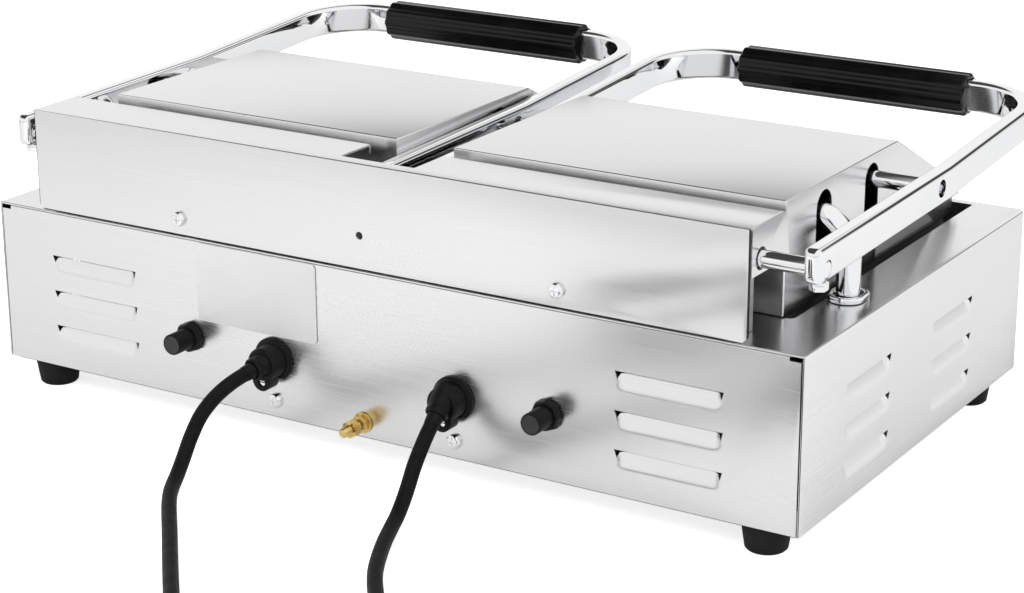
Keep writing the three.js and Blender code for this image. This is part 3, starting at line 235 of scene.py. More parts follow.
# Rounds the edges that a test of their two ends picks
def roundEdges(obj, radius, picks, segments=6):
    applyPlace(obj)
    makeActive(obj)
    bpy.ops.object.mode_set(mode="EDIT")
    bpy.ops.mesh.select_mode(type="EDGE")
    bpy.ops.mesh.select_all(action="DESELECT")
    bpy.ops.object.mode_set(mode="OBJECT")
    places = obj.data.vertices
    for edge in obj.data.edges:
        edge.select = picks(*[places[i].co for i in edge.vertices])
    bpy.ops.object.mode_set(mode="EDIT")
    bpy.ops.mesh.bevel(offset=radius, segments=segments)
    bpy.ops.object.mode_set(mode="OBJECT")
    return obj


alongAxis = 0.99


# The corners that stand along an axis
def roundCorners(obj, axis, radius):
    return roundEdges(obj, radius, lambda a, b: abs((a - b).normalized()[axis]) > alongAxis)


foldFacts = {"weld": 0.00002, "flat": 0.5}


# A copy of a CAD node whose long folded edges get a small radius
def folded(nodeName, width, longest=0.012, segments=3, sharpest=25):
    obj = makeActive(newObject("copy", nodes[nodeName].data.copy()))
    bpy.ops.object.mode_set(mode="EDIT")
    bpy.ops.mesh.select_all(action="SELECT")
    bpy.ops.mesh.remove_doubles(threshold=foldFacts["weld"])
    bpy.ops.mesh.dissolve_limited(angle_limit=math.radians(foldFacts["flat"]))
    bpy.ops.object.mode_set(mode="OBJECT")
    mesh = obj.data
    weights = mesh.attributes.new("bevel_weight_edge", "FLOAT", "EDGE")
    faces = {}
    for polygon in mesh.polygons:
        for key in polygon.edge_keys:
            faces.setdefault(key, []).append(polygon)
    values = np.zeros(len(mesh.edges), np.float32)
    for edge in mesh.edges:
        pair = faces.get(edge.key, [])
        if len(pair) != 2:
            continue
        if pair[0].normal.angle(pair[1].normal, 0) < math.radians(sharpest):
            continue
        middle = (mesh.vertices[edge.vertices[0]].co + mesh.vertices[edge.vertices[1]].co) / 2
        convex = (pair[0].center - middle).dot(pair[1].normal) < 0
        wide = min(face.area for face in pair)
        if convex and wide > longest * longest:
            values[edge.index] = 1
    weights.data.foreach_set("value", values)
    return applyModifier(obj, "BEVEL", width=width, segments=segments, limit_method="WEIGHT",
                         use_clamp_overlap=False)


# Names a finished piece, gives it its finish and puts it on its body
def settle(obj, name, look, body, angle=32):
    applyPlace(obj)
    makeActive(obj)
    bpy.ops.object.shade_smooth_by_angle(angle=math.radians(angle))
    obj.name = name
    obj.data.name = name
    obj.data.materials.clear()
    obj.data.materials.append(looks[look])
    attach(obj, body)
    return obj


# Settles a piece in place of a CAD node: lid_cover_left becomes lidCover.left
def standIn(obj, nodeName, angle=32, name=None):
    first, *rest = nodeName.split("_")
    title = first + "".join(f".{word}" if word in sides else word.capitalize() for word in rest)
    settle(obj, name or title, lookOf[nodeName], bodyOf[nodeName], angle)
    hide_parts(nodeName)
    return obj


# Gives a second finish to the faces that a test picks
def paintFaces(obj, look, picks):
    obj.data.materials.append(looks[look])
    for face in obj.data.polygons:
        if picks(face):
            face.material_index = 1


def newMaterial(name):
    material = bpy.data.materials.new(name)
    material.use_nodes = True
    tree = material.node_tree
    return material, tree, tree.nodes["Principled BSDF"]


def addNode(tree, kind, **settings):
    node = tree.nodes.new(kind)
    for key, value in settings.items():
        if key in node.inputs:
            node.inputs[key].default_value = value
        else:
            setattr(node, key, value)
    return node


# Puts a number, or what another node gives, on a socket
def feed(tree, socket, value):
    if isinstance(value, bpy.types.NodeSocket):
        tree.links.new(value, socket)
    else:
        socket.default_value = value


def mathOf(tree, operation, *values):
    node = addNode(tree, "ShaderNodeMath", operation=operation)
    for socket, value in zip(node.inputs, values):
        feed(tree, socket, value)
    return node.outputs[0]


def mixNumbers(tree, factor, first, second):
    mix = addNode(tree, "ShaderNodeMix", data_type="FLOAT")
    for index, value in ((0, factor), (2, first), (3, second)):
        feed(tree, mix.inputs[index], value)
    return mix.outputs[0]


def mixColours(tree, factor, first, second):
    mix = addNode(tree, "ShaderNodeMix", data_type="RGBA")
    tree.links.new(factor, mix.inputs["Factor"])
    colours = [socket for socket in mix.inputs if socket.type == "RGBA"]
    colours[0].default_value = (*first, 1)
    colours[1].default_value = (*second, 1)
    return next(socket for socket in mix.outputs if socket.type == "RGBA")


def noiseOf(tree, scale, detail, stretch=(1, 1, 1)):
    place = addNode(tree, "ShaderNodeTexCoord")
    mapping = addNode(tree, "ShaderNodeMapping", Scale=stretch)
    noise = addNode(tree, "ShaderNodeTexNoise", Scale=scale, Detail=detail)
    tree.links.new(place.outputs["Object"], mapping.inputs["Vector"])
    tree.links.new(mapping.outputs["Vector"], noise.inputs["Vector"])
    return noise.outputs["Fac"]


def rangeOf(tree, source, low, high, fromLow=0.3, fromHigh=0.7):
    ramp = addNode(tree, "ShaderNodeMapRange")
    tree.links.new(source, ramp.inputs["Value"])
    for key, value in (("From Min", fromLow), ("From Max", fromHigh), ("To Min", low), ("To Max", high)):
        ramp.inputs[key].default_value = value
    return ramp.outputs["Result"]


# The X, Y and Z of a place or direction
def axesOf(tree, source):
    place = addNode(tree, "ShaderNodeTexCoord")
    split = addNode(tree, "ShaderNodeSeparateXYZ")
    tree.links.new(place.outputs[source], split.inputs[0])
    return split.outputs


def finishWith(tree, shader, facts, tone, roughness, relief):
    colour = mixColours(tree, rangeOf(tree, tone, 0, 1), facts["dark"], facts["light"])
    strength, depth = facts["relief"]
    bump = addNode(tree, "ShaderNodeBump", Strength=strength, Distance=depth)
    tree.links.new(relief, bump.inputs["Height"])
    tree.links.new(colour, shader.inputs["Base Color"])
    tree.links.new(roughness, shader.inputs["Roughness"])
    tree.links.new(bump.outputs["Normal"], shader.inputs["Normal"])


noiseDetail = {"grain": 2.5, "cloud": 3, "patch": 3, "fine": 4}
sideWall = 0.7  # a face that is turned further sideways has its grain along Y


# Sheet rubbed in one direction: grain along X, and along Y on the side walls
def brushedSteel(name, facts):
    material, tree, shader = newMaterial(name)
    shader.inputs["Metallic"].default_value = 1
    run, fine = facts["run"], facts["fine"]
    alongX = noiseOf(tree, 1, noiseDetail["grain"], (run, fine, fine))
    alongY = noiseOf(tree, 1, noiseDetail["grain"], (fine, run, fine))
    sideways = mathOf(tree, "ABSOLUTE", axesOf(tree, "Normal")["X"])
    streaks = mixNumbers(tree, mathOf(tree, "GREATER_THAN", sideways, sideWall), alongX, alongY)
    clouds = noiseOf(tree, facts["cloud"], noiseDetail["cloud"])
    roughness = mathOf(tree, "ADD", rangeOf(tree, streaks, *facts["rough"]),
                       rangeOf(tree, clouds, -facts["patchy"], facts["patchy"]))
    finishWith(tree, shader, facts, streaks, roughness, streaks)
    return material


# Any evenly finished material: colour and roughness that vary a little, and a fine relief
def plainFinish(name, facts):
    material, tree, shader = newMaterial(name)
    for key, value in facts["sockets"].items():
        shader.inputs[key].default_value = value
    patches = noiseOf(tree, facts["patch"], noiseDetail["patch"])
    fine = noiseOf(tree, facts["fine"], noiseDetail["fine"])
    finishWith(tree, shader, facts, patches, rangeOf(tree, patches, *facts["rough"]), fine)
    return material


def grey(low, blue=None):
    return (low, low, low if blue is None else blue)


# Each look is listed with the material slot of the record that it matches
finishes = {
    "brushedSheet": {
        "slot": "brushed_sheet", "run": 5, "fine": 1400, "cloud": 5, "dark": grey(0.79, 0.795),
        "light": grey(0.83, 0.835), "rough": (0.23, 0.27), "patchy": 0.02, "relief": (0.012, 0.0002)
    },
    "millSteel": {
        "slot": "plain_steel", "run": 8, "fine": 700, "cloud": 8, "dark": grey(0.42, 0.43),
        "light": grey(0.55, 0.56), "rough": (0.36, 0.48), "patchy": 0.04, "relief": (0.08, 0.0002)
    },
    # Near-black metal that paints shade on the sheets' bottom edges, slanted corners and seams
    "cutEdge": {
        "slot": "brushed_sheet", "sockets": {"Metallic": 1.0}, "patch": 60, "fine": 1200,
        "dark": grey(0.04, 0.041), "light": grey(0.06, 0.061), "rough": (0.4, 0.5),
        "relief": (0.05, 0.0002)
    },
    "chromePlate": {
        "slot": "chrome", "sockets": {"Metallic": 1.0}, "patch": 14, "fine": 60,
        "dark": (0.84, 0.85, 0.86), "light": grey(0.89, 0.90), "rough": (0.035, 0.075),
        "relief": (0.02, 0.0004)
    },
    "castIron": {
        "slot": "cast_iron", "sockets": {"Metallic": 0.6}, "patch": 45, "fine": 900,
        "dark": grey(0.020, 0.021), "light": (0.055, 0.054, 0.053), "rough": (0.42, 0.62),
        "relief": (0.35, 0.0004)
    },
    "turnedBrass": {
        "slot": "brass", "sockets": {"Metallic": 1.0}, "patch": 120, "fine": 900,
        "dark": (0.55, 0.36, 0.10), "light": (0.86, 0.64, 0.27), "rough": (0.16, 0.32),
        "relief": (0.05, 0.0002)
    },
    "glossPlastic": {
        "slot": "black_plastic", "sockets": {"IOR": 1.45, "Specular IOR Level": 0.3}, "patch": 60,
        "fine": 900, "dark": grey(0.0025, 0.003), "light": grey(0.005, 0.0055), "rough": (0.14, 0.24),
        "relief": (0.03, 0.0002)
    },
    "satinPlastic": {
        "slot": "black_plastic", "sockets": {"IOR": 1.45, "Specular IOR Level": 0.2}, "patch": 70,
        "fine": 1400, "dark": grey(0.004, 0.0045), "light": grey(0.007, 0.0075), "rough": (0.34, 0.46),
        "relief": (0.08, 0.0002)
    },
    # Lighter black on the reset buttons' end faces: a painted sheen for the reflection seen on them
    "buttonCap": {
        "slot": "black_plastic", "sockets": {"IOR": 1.45, "Specular IOR Level": 0.4}, "patch": 160,
        "fine": 1500, "dark": grey(0.030, 0.031), "light": grey(0.042, 0.043), "rough": (0.42, 0.55),
        "relief": (0.08, 0.0001)
    },
    "cordRubber": {
        "slot": "black_rubber", "sockets": {"IOR": 1.45, "Specular IOR Level": 0.15}, "patch": 120,
        "fine": 1600, "dark": grey(0.004, 0.0045), "light": grey(0.009, 0.0095), "rough": (0.46, 0.6),
        "relief": (0.15, 0.0002)
    },
    "footRubber": {
        "slot": "black_rubber", "sockets": {"IOR": 1.45, "Specular IOR Level": 0.2}, "patch": 90,
        "fine": 1500, "dark": grey(0.008, 0.0085), "light": grey(0.016), "rough": (0.55, 0.7),
        "relief": (0.15, 0.0003)
    },
    "labelFilm": {
        "slot": "white_label", "sockets": {"IOR": 1.45}, "patch": 25, "fine": 700, "dark": grey(0.84),
        "light": grey(0.88), "rough": (0.34, 0.42), "relief": (0.02, 0.0001)
    },
    "printPaint": {
        "slot": "white_label", "sockets": {"IOR": 1.45}, "patch": 90, "fine": 900, "dark": grey(0.70),
        "light": grey(0.78), "rough": (0.4, 0.5), "relief": (0.02, 0.0001)
    },
    "markPaint": {
        "slot": "black_plastic", "sockets": {"IOR": 1.45}, "patch": 90, "fine": 900,
        "dark": grey(0.02, 0.022), "light": grey(0.035, 0.037), "rough": (0.4, 0.5),
        "relief": (0.02, 0.0001)
    },
    "steatite": {
        "slot": "cream_ceramic", "sockets": {"IOR": 1.5}, "patch": 60, "fine": 800,
        "dark": (0.72, 0.69, 0.61), "light": (0.80, 0.77, 0.69), "rough": (0.35, 0.5),
        "relief": (0.08, 0.0002)
    },
    "amberLens": {
        "slot": "amber_lens", "sockets": {"IOR": 1.49, "Transmission Weight": 0.55}, "patch": 200,
        "fine": 700, "dark": (0.80, 0.24, 0.02), "light": (0.95, 0.36, 0.05), "rough": (0.08, 0.16),
        "relief": (0.02, 0.0002)
    },
}
looks = {}
for look, facts in finishes.items():
    makeFinish = brushedSteel if "run" in facts else plainFinish
    looks[look] = makeFinish(look, facts)

# The finish of each CAD node, where {} stands for left and right
nodeLooks = {
    "brushedSheet": ["base_shell", "rear_panel", "hinge_housing", "lid_cover_{}", "drip_tray"],
    "millSteel": ["bottom_panel", "shaft_bracket_{}", "torsion_spring_{}", "lower_element_{}",
                  "upper_element_{}"],
    "chromePlate": ["conduit_collar_{}", "handle_bar_{}", "hinge_shaft_{}", "pivot_rod_{}",
                    "conduit_tube_{}"],
    "castIron": ["lower_plate_{}", "upper_plate_{}"],
    "satinPlastic": ["thermostat_{}", "switch_housing_{}", "reset_collar_{}", "reset_button_{}",
                     "cord_gland_{}", "plug_{}"],
    "glossPlastic": ["grip_{}", "knob_{}", "rocker_{}"],
    "footRubber": ["foot_front_{}", "foot_rear_{}"],
    "cordRubber": ["cord_{}", "coil_{}"],
    "turnedBrass": ["terminal_stud"],
    "labelFilm": ["rating_plate"],
    "steatite": ["terminal_block"],
    "amberLens": ["indicator_lamp_{}"],
}
lookOf = {pattern.format(name): look for look, patterns in nodeLooks.items() for pattern in patterns
          for name in sides}
for nodeName, look in lookOf.items():
    nodes[nodeName].data.materials.clear()
    nodes[nodeName].data.materials.append(looks[look])
print("finishes made:", len(looks))


# Supply cords along the CAD route, each with a coil and a plug lying on the floor
cordFacts = {"radius": 0.0045, "rest": 0.0047, "fit": 0.0003, "mouth": 0.0143, "reach": 0.007,
             "resolution": 5, "coil": 0.063, "turns": 4, "pitch": 0.0097, "heading": 32, "lead": 0.055,
             "stepsPerTurn": 48, "stepsBetween": 10}
cords = {
    "right": {
        "gland": (0.070, rearY, 0.055), "droop": 10, "turn": 12, "coil": (-0.0925, 0.472675),
        "route": [(0.0756, 0.204875, 0.0494), (0.0795, 0.214875, 0.0433), (0.0832, 0.223875, 0.0342),
                  (0.0844, 0.233075, 0.0228), (0.0825, 0.242575, 0.0139), (0.0788, 0.253275, 0.0078),
                  (0.0736, 0.264775, 0.005), (0.065, 0.277875, 0.0047), (0.0302, 0.320175, 0.0047),
                  (-0.009, 0.367275, 0.0047), (-0.0482, 0.413175, 0.0047), (-0.0693, 0.436775, 0.0047)],
    },
    "left": {
        "gland": (-0.060, rearY, 0.055), "droop": 42, "turn": 0, "coil": (-0.1815, 0.417675),
        "route": [(-0.0597, 0.197375, 0.0405), (-0.0597, 0.208875, 0.0278), (-0.0621, 0.221475, 0.0159),
                  (-0.0659, 0.235675, 0.0082), (-0.0702, 0.249475, 0.0052), (-0.0786, 0.268975, 0.0047),
                  (-0.0964, 0.302175, 0.0047), (-0.1234, 0.338075, 0.0047), (-0.149, 0.368875, 0.0047),
                  (-0.1601, 0.383975, 0.0047)],
    },
}


def exitOf(cord):
    down, aside = math.radians(cord["droop"]), math.radians(cord["turn"])
    way = Vector((math.cos(down) * math.sin(aside), math.cos(down) * math.cos(aside), -math.sin(down)))
    mouth = Vector(cord["gland"]) + Vector((0, cordFacts["mouth"], 0)) + way * cordFacts["reach"]
    return way, mouth


# Centripetal curve through the points, a few steps in each stretch
def throughPoints(points, steps):
    padded = [points[0] * 2 - points[1], *points, points[-1] * 2 - points[-2]]
    line = []
    for a, b, c, d in zip(padded, padded[1:], padded[2:], padded[3:]):
        t1 = (b - a).length ** 0.5
        t2 = t1 + (c - b).length ** 0.5
        t3 = t2 + (d - c).length ** 0.5
        for k in range(steps):
            t = t1 + (t2 - t1) * k / steps
            a1 = a * ((t1 - t) / t1) + b * (t / t1)
            a2 = b * ((t2 - t) / (t2 - t1)) + c * ((t - t1) / (t2 - t1))
            a3 = c * ((t3 - t) / (t3 - t2)) + d * ((t - t2) / (t3 - t2))
            b1 = a1 * ((t2 - t) / t2) + a2 * (t / t2)
            b2 = a2 * ((t3 - t) / (t3 - t1)) + a3 * ((t - t1) / (t3 - t1))
            line.append(b1 * ((t2 - t) / (t2 - t1)) + b2 * ((t - t1) / (t2 - t1)))
    return [*line, points[-1]]


# Coil in two layers, in along the floor and out on top, with a straight end for the plug
def coilLine(cord, hand):
    facts = cordFacts
    heading = Matrix.Rotation(math.radians(facts["heading"]), 3, "Z")
    start = Vector((*cord["coil"], facts["rest"]))
    line = []
    for i in range(facts["turns"] * facts["stepsPerTurn"] + 1):
        t = i / facts["stepsPerTurn"]
        radius = facts["coil"] - facts["pitch"] * min(t, facts["turns"] - t)
        climb = min(max((t - facts["turns"] / 2) * 2 + 0.5, 0), 1)
        lift = facts["pitch"] * climb * climb * (3 - 2 * climb)
        angle = 2 * math.pi * t
        across = hand * (facts["coil"] - radius * math.cos(angle))
        line.append(Vector((across, radius * math.sin(angle), lift)))
    line.append(Vector((0, facts["lead"], facts["pitch"])))
    return [start + heading @ point for point in line]


plug = {"wide": 0.050, "long": 0.046, "tall": 0.025, "nose": 0.012, "corner": 0.009, "edge": 0.0025,
        "noseOutline": [(0, -0.001), (0.0052, -0.001), (0.0062, 0.0005), (0.0066, 0.003), (0.0082, 0.010),
                        (0.009, 0.012), (0.009, 0.021), (0, 0.021)],
        "ribs": 5, "ribPitch": 0.006, "ribWide": 0.0024, "ribDeep": 0.0008, "ribTall": 0.7,
        "row": 0.011, "inset": 0.012, "forward": 0.022, "pin": (0.0064, 0.004, 0.021),
        "earthPin": (0.004, 0.008, 0.025), "pinEdge": 0.0006, "pinSunk": 0.002}


# Moulded plug on its back, pins up, with the cord coming in along +Y
def makePlug(name, end):
    turn = Matrix.Rotation(math.radians(cordFacts["heading"]), 4, "Z")
    low = cordFacts["rest"] - cordFacts["radius"] - end.z
    middle = plug["nose"] + plug["long"] / 2
    body = brick((0, middle, low + plug["tall"] / 2), (plug["wide"], plug["long"], plug["tall"]))
    roundCorners(body, 2, plug["corner"])
    softEdges(body, plug["edge"], 4)
    grooveSize = (2 * plug["ribDeep"], plug["ribWide"], plug["tall"] * plug["ribTall"])
    grooves = []
    for i in range(plug["ribs"]):
        y = middle + (i - (plug["ribs"] - 1) / 2) * plug["ribPitch"]
        for side in (-1, 1):
            grooves.append(brick((side * plug["wide"] / 2, y, low + plug["tall"] / 2), grooveSize))
    carve(body, *grooves)
    nose = turned(plug["noseOutline"], (0, 0, 0), backward)
    top = low + plug["tall"]
    row = plug["nose"] + plug["inset"]
    pins = []
    for x, y, (wide, deep, tall) in ((-plug["row"], row, plug["pin"]), (plug["row"], row, plug["pin"]),
                                     (0, row + plug["forward"], plug["earthPin"])):
        pin = brick((x, y, top + (tall - plug["pinSunk"]) / 2), (wide, deep, tall + plug["pinSunk"]))
        pins.append(softEdges(pin, plug["pinEdge"], 3))
    body, pins = joinAll(body, nose), joinAll(*pins)
    for obj in (body, pins):
        applyPlace(obj)
        obj.matrix_world = Matrix.Translation(end) @ turn
    return [standIn(body, f"plug_{name}", 35, f"plugBody.{name}"),
            settle(pins, f"plugPins.{name}", "turnedBrass", "base", 35)]


def makeCord(name):
    cord, facts = cords[name], cordFacts
    way, mouth = exitOf(cord)
    start = mouth + way * facts["fit"]
    coil = coilLine(cord, sides[name])
    route = [start, start + way * facts["radius"], *[Vector(point) for point in cord["route"]]]
    into = Matrix.Rotation(math.radians(facts["heading"]), 3, "Z") @ Vector(backward)
    last = coil[0] - into * (2 * facts["radius"])
    line = throughPoints([*route, last - into * facts["radius"], last, coil[0]], facts["stepsBetween"])
    path = [*line, *coil[1:]]
    curve = bpy.data.curves.new(f"supplyCord.{name}", "CURVE")
    curve.dimensions = "3D"
    curve.bevel_depth = facts["radius"]
    curve.bevel_resolution = facts["resolution"]
    curve.use_fill_caps = True
    addSpline(curve, path)
    cordPiece = newObject(f"supplyCord.{name}", curve)
    curve.materials.append(looks["cordRubber"])
    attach(cordPiece, "base")
    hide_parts(f"cord_{name}", f"coil_{name}")
    pieces = makePlug(name, path[-1])


for name in cords:
    makeCord(name)


# Handles, shafts, rods and conduits
handle = {"thick": 0.010, "tall": 0.020, "corner": 0.0027, "cornerSteps": 5, "bend": 0.046, "bendSteps": 20,
          "knee": 0.014, "front": 0.185, "rear": 0.1705, "bore": 0.0053, "endRound": 0.0042, "endSteps": 6,
          "tailRound": 0.0105, "tailPlay": 0.0002}
grip = {"radius": 0.014, "length": 0.160, "flutes": 10, "flute": 0.0011, "edge": 0.0016, "play": 0.0003,
        "over": 1.2}
rod = {"radius": 0.005, "shaftRound": 0.0012, "rodRound": 0.0006, "recess": 0.005}
bolt = {"head": 0.0056, "deep": 0.005, "shank": 0.0025, "edge": 0.0007}
conduit = {"radius": 0.007, "bend": 0.022, "bendSteps": 16, "resolution": 10}


def handleSection():
    a, b = handle["thick"] / 2, handle["tall"] / 2
    corners = [(-a, -b, 0), (a, -b, 0), (a, b, 0), (-a, b, 0)]
    points = rounded(corners, handle["corner"], handle["cornerSteps"], closed=True)
    return [(point.x, point.y) for point in points]


# Flat bar bent in plan and at the knee, with a rounded outer end and a boss round the shaft
def makeHandle(name):
    low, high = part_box(f"handle_bar_{name}")
    shaft, tilt = pivots[f"{name}_lift"], pivots[f"{name}_tilt"]
    half = handle["thick"] / 2
    outer, inner = (low.x + half, high.x - half) if name == "left" else (high.x - half, low.x + half)
    front, tail = low.y + half, high.y
    knee = tilt.y - handle["knee"]

    def height(y):
        if y > knee:
            return tilt.z + (y - knee) / (tail - knee) * (handle["rear"] - tilt.z)
        return tilt.z + (knee - y) / (knee - front) * (handle["front"] - tilt.z)

    corners = [(outer, tail, 0), (outer, front, 0), (inner, front, 0), (inner, shaft.y, 0)]
    plan = rounded(corners, handle["bend"], handle["bendSteps"])
    plan.insert(1, Vector((outer, knee, 0)))
    way = Vector((0, knee - tail, tilt.z - handle["rear"])).normalized()
    soft, steps = handle["endRound"], handle["endSteps"]
    for i in range(steps):
        along = soft * (1 - math.cos(math.pi / 2 * (steps - i) / steps))
        plan.insert(1, Vector((outer, tail + way.y * along, 0)))
    plan.insert(len(plan) - 1, Vector((inner, knee, 0)))
    path = [Vector((point.x, point.y, height(point.y))) for point in plan]
    obj = swept(path, handleSection())
    end = path[0]
    up = way.cross(Vector((1, 0, 0)))
    for vertex in obj.data.vertices:
        arm = vertex.co - end
        along = arm.dot(way)
        if abs(arm.x) > handle["thick"] or along > soft:
            continue
        inset = soft - math.sqrt(max(soft * soft - (soft - max(along, 0)) ** 2, 0))
        across = arm.x * (1 - inset / half)
        rise = arm.dot(up) * (1 - inset / (handle["tall"] / 2))
        vertex.co = end + way * along + up * rise + Vector((across, 0, 0))
    boss = bar("x", (inner, shaft.y, shaft.z), handle["tailRound"], handle["thick"] - handle["tailPlay"], 64)
    softEdges(boss, handle["corner"] / 3, 2, 60)
    combine(obj, "UNION", boss)
    wide = high.x - low.x + half
    middle = (low.x + high.x) / 2
    carve(obj, bar("x", (middle, tilt.y, tilt.z), handle["bore"], wide),
          bar("x", (middle, shaft.y, shaft.z), handle["bore"], wide))
    standIn(obj, f"handle_bar_{name}", 30)
    return front


def makeGrip(name, front):
    low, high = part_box(f"grip_{name}")
    axis = Vector(((low.x + high.x) / 2, front, handle["front"]))
    obj = bar("x", axis, grip["radius"], grip["length"], 120)
    softEdges(obj, grip["edge"], 3, 60)
    applyPlace(obj)
    for vertex in obj.data.vertices:
        arm = vertex.co - axis
        arm.x = 0
        if arm.length < grip["radius"] / 4:
            continue
        turn = math.atan2(arm.z, arm.y)
        arm *= 1 - grip["flute"] / grip["radius"] * math.sin(turn * grip["flutes"] / 2) ** 2
        vertex.co.y, vertex.co.z = axis.y + arm.y, axis.z + arm.z
    play = 2 * grip["play"]
    carve(obj, brick(axis, (grip["length"] * grip["over"], handle["thick"] + play, handle["tall"] + play)))
    standIn(obj, f"grip_{name}", 40, f"handGrip.{name}")


def makeShaft(name):
    low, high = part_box(f"hinge_shaft_{name}")
    shaft = pivots[f"{name}_lift"]
    main = bar("x", ((low.x + high.x) / 2, shaft.y, shaft.z), rod["radius"], high.x - low.x, 64)
    softEdges(main, rod["shaftRound"], 3, 60)
    parts = [main]
    for x in (low.x + handle["thick"] / 2, high.x - handle["thick"] / 2):
        head = bar("z", (x, shaft.y, low.z + bolt["deep"] / 2), bolt["head"], bolt["deep"], 6)
        softEdges(head, bolt["edge"])
        parts += [head, bar("z", (x, shaft.y, (low.z + shaft.z) / 2), bolt["shank"], shaft.z - low.z, 24)]
    standIn(joinAll(*parts), f"hinge_shaft_{name}")


def makeRod(name):
    low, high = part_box(f"pivot_rod_{name}")
    tilt = pivots[f"{name}_tilt"]
    middle = (low.x + high.x - sides[name] * rod["recess"]) / 2
    obj = bar("x", (middle, tilt.y, tilt.z), rod["radius"], high.x - low.x - rod["recess"], 64)
    softEdges(obj, rod["rodRound"], 3, 60)
    standIn(obj, f"pivot_rod_{name}")


def makeConduit(name):
    low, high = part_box(f"conduit_tube_{name}")
    y = (low.y + high.y) / 2
    outer = low.x + conduit["radius"] if name == "left" else high.x - conduit["radius"]
    inner = high.x if name == "left" else low.x
    top = pivots[f"{name}_conduit_lean"].z
    corners = [(inner, y, top), (outer, y, top), (outer, y, low.z)]
    path = rounded(corners, conduit["bend"], conduit["bendSteps"])
    standIn(swept(path, radius=conduit["radius"], resolution=conduit["resolution"]), f"conduit_tube_{name}")


for name in sides:
    makeGrip(name, makeHandle(name))
    makeShaft(name)
    makeRod(name)
    makeConduit(name)
print("handles and conduits made")


# Limits of the faces that get painted shade along the sheets' bottom edges and slanted corners
cut = {"deep": 0.0012, "down": 0.2, "behind": 0.16, "slant": (0.2, 0.98)}


# Rear faces of a sheet below a height, along its bottom edge, get painted shade: a dark line for the shadowed gap
# under the sheet
def isCut(face, height):
    return face.center.z < height and face.normal.z < -cut["down"] and face.center.y > cut["behind"]


# Slanted faces at the rear upright corners, which get painted shade as a dark line between two faces
def isSlanted(face):
    least, most = cut["slant"]
    return face.normal.y > least and least < abs(face.normal.x) < most


# Folded sheets keep the CAD shape and get a bend radius
bends = {"hinge_housing": 0.0009, "lid_cover": 0.0008, "rear_panel": 0.00055, "base_shell": 0.0009}
housing = standIn(folded("hinge_housing", bends["hinge_housing"]), "hinge_housing")
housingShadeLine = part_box("hinge_housing")[0].z + cut["deep"]
# The housing's bottom edge faces and slanted corner faces get painted shade
paintFaces(housing, "cutEdge", lambda face: isCut(face, housingShadeLine) or isSlanted(face))
for name in sides:
    standIn(folded(f"lid_cover_{name}", bends["lid_cover"]), f"lid_cover_{name}")
print("sheets folded")


# Pan head screws with a cross recess
screw = {"radius": 0.0048, "height": 0.0030, "gap": 0.0001, "dome": 0.0019, "slot": (0.0052, 0.0012),
         "recess": 0.0018}
screwSpots = {
    "panelScrew.left": (-0.0600, rearY, 0.0282), "panelScrew.right": (0.0700, rearY, 0.0282),
    "housingScrew.left": (-0.1295, rearY, 0.1330), "housingScrew.right": (0.1395, rearY, 0.1330),
}


def makeScrew(name, spot):
    x, y, z = spot
    obj = bar("y", (x, y + screw["height"] / 2 + screw["gap"], z), screw["radius"], screw["height"], 40)
    outside = y + screw["height"]
    roundEdges(obj, screw["dome"], lambda a, b: min(a.y, b.y) > outside)
    long, thin = screw["slot"]
    deep = 2 * screw["recess"]
    carve(obj, brick((x, outside, z), (long, deep, thin)), brick((x, outside, z), (thin, deep, long)))
    settle(obj, name, "chromePlate", "base")


for name, spot in screwSpots.items():
    makeScrew(name, spot)
print("screws made")


# Tapered rubber feet on their studs
foot = {"low": 0.0123, "high": 0.0145, "edge": 0.0012, "top": 0.0167, "stud": 0.0025}


def makeFoot(end, name):
    nodeName = f"foot_{end}_{name}"
    low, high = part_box(nodeName)
    edge, top = foot["edge"], foot["top"]
    obj = turned([(0, 0), (foot["low"] - edge, 0), (foot["low"], edge), (foot["high"], top - edge),
                  (foot["high"] - edge / 2, top), (foot["stud"], top), (foot["stud"], high.z), (0, high.z)],
                 ((low.x + high.x) / 2, (low.y + high.y) / 2, 0), (0, 0, 1), 64)
    standIn(obj, nodeName, 50, f"foot.{end}.{name}")


for name in sides:
    makeFoot("front", name)
    makeFoot("rear", name)


# Panels with pressed louvres: the sheet sinks towards a slit along the top of each scoop
louvre = {"deep": 0.0035, "tall": 0.012, "slit": 0.0017, "slitEnd": 0.001, "soft": 0.35, "ends": 0.0065,
          "corner": 0.005, "border": 0.004, "step": 0.0008, "sheet": 0.0012, "notch": (0.0042, 0.0048),
          "notchOver": (0.0002, 0.0005), "notchLean": 0.35, "window": (0.005, 0.020), "rows": 3,
          "pitch": 0.0235}
rearLouvres = {"length": 0.068, "top": 0.0925, "turn": 180, "spots": [(0.211, rearY), (-0.201, rearY)]}
sideLouvres = {
    "left": {"length": 0.061, "top": 0.089, "turn": -90,
             "spots": [(-0.2825, 0.082175), (-0.2825, -0.038825)]},
    "right": {"length": 0.061, "top": 0.089, "turn": 90,
              "spots": [(0.2875, 0.082175), (0.2875, -0.038825)]},
}


def clamped(share):
    return min(max(share, 0), 1)


# Three-sided bar that opens one end of a slit, at x on its side of the scoop
def makeNotch(x, side):
    across, down = louvre["notch"]
    beyond, above = louvre["notchOver"]
    bpy.ops.mesh.primitive_cylinder_add(vertices=3, radius=1, depth=4 * louvre["deep"],
                                        rotation=axisTurns["y"])
    notch = applyPlace(bpy.context.object)
    top = louvre["tall"] + above
    corners = [(x + side * beyond, top), (x - side * across, top),
               (x - side * across * louvre["notchLean"], louvre["tall"] - down)]
    ranked = sorted({(round(v.co.x, 4), round(v.co.z, 4)) for v in notch.data.vertices})
    for vertex in notch.data.vertices:
        place = ranked.index((round(vertex.co.x, 4), round(vertex.co.z, 4)))
        vertex.co.x, vertex.co.z = corners[place]
    return tidyMesh(notch)


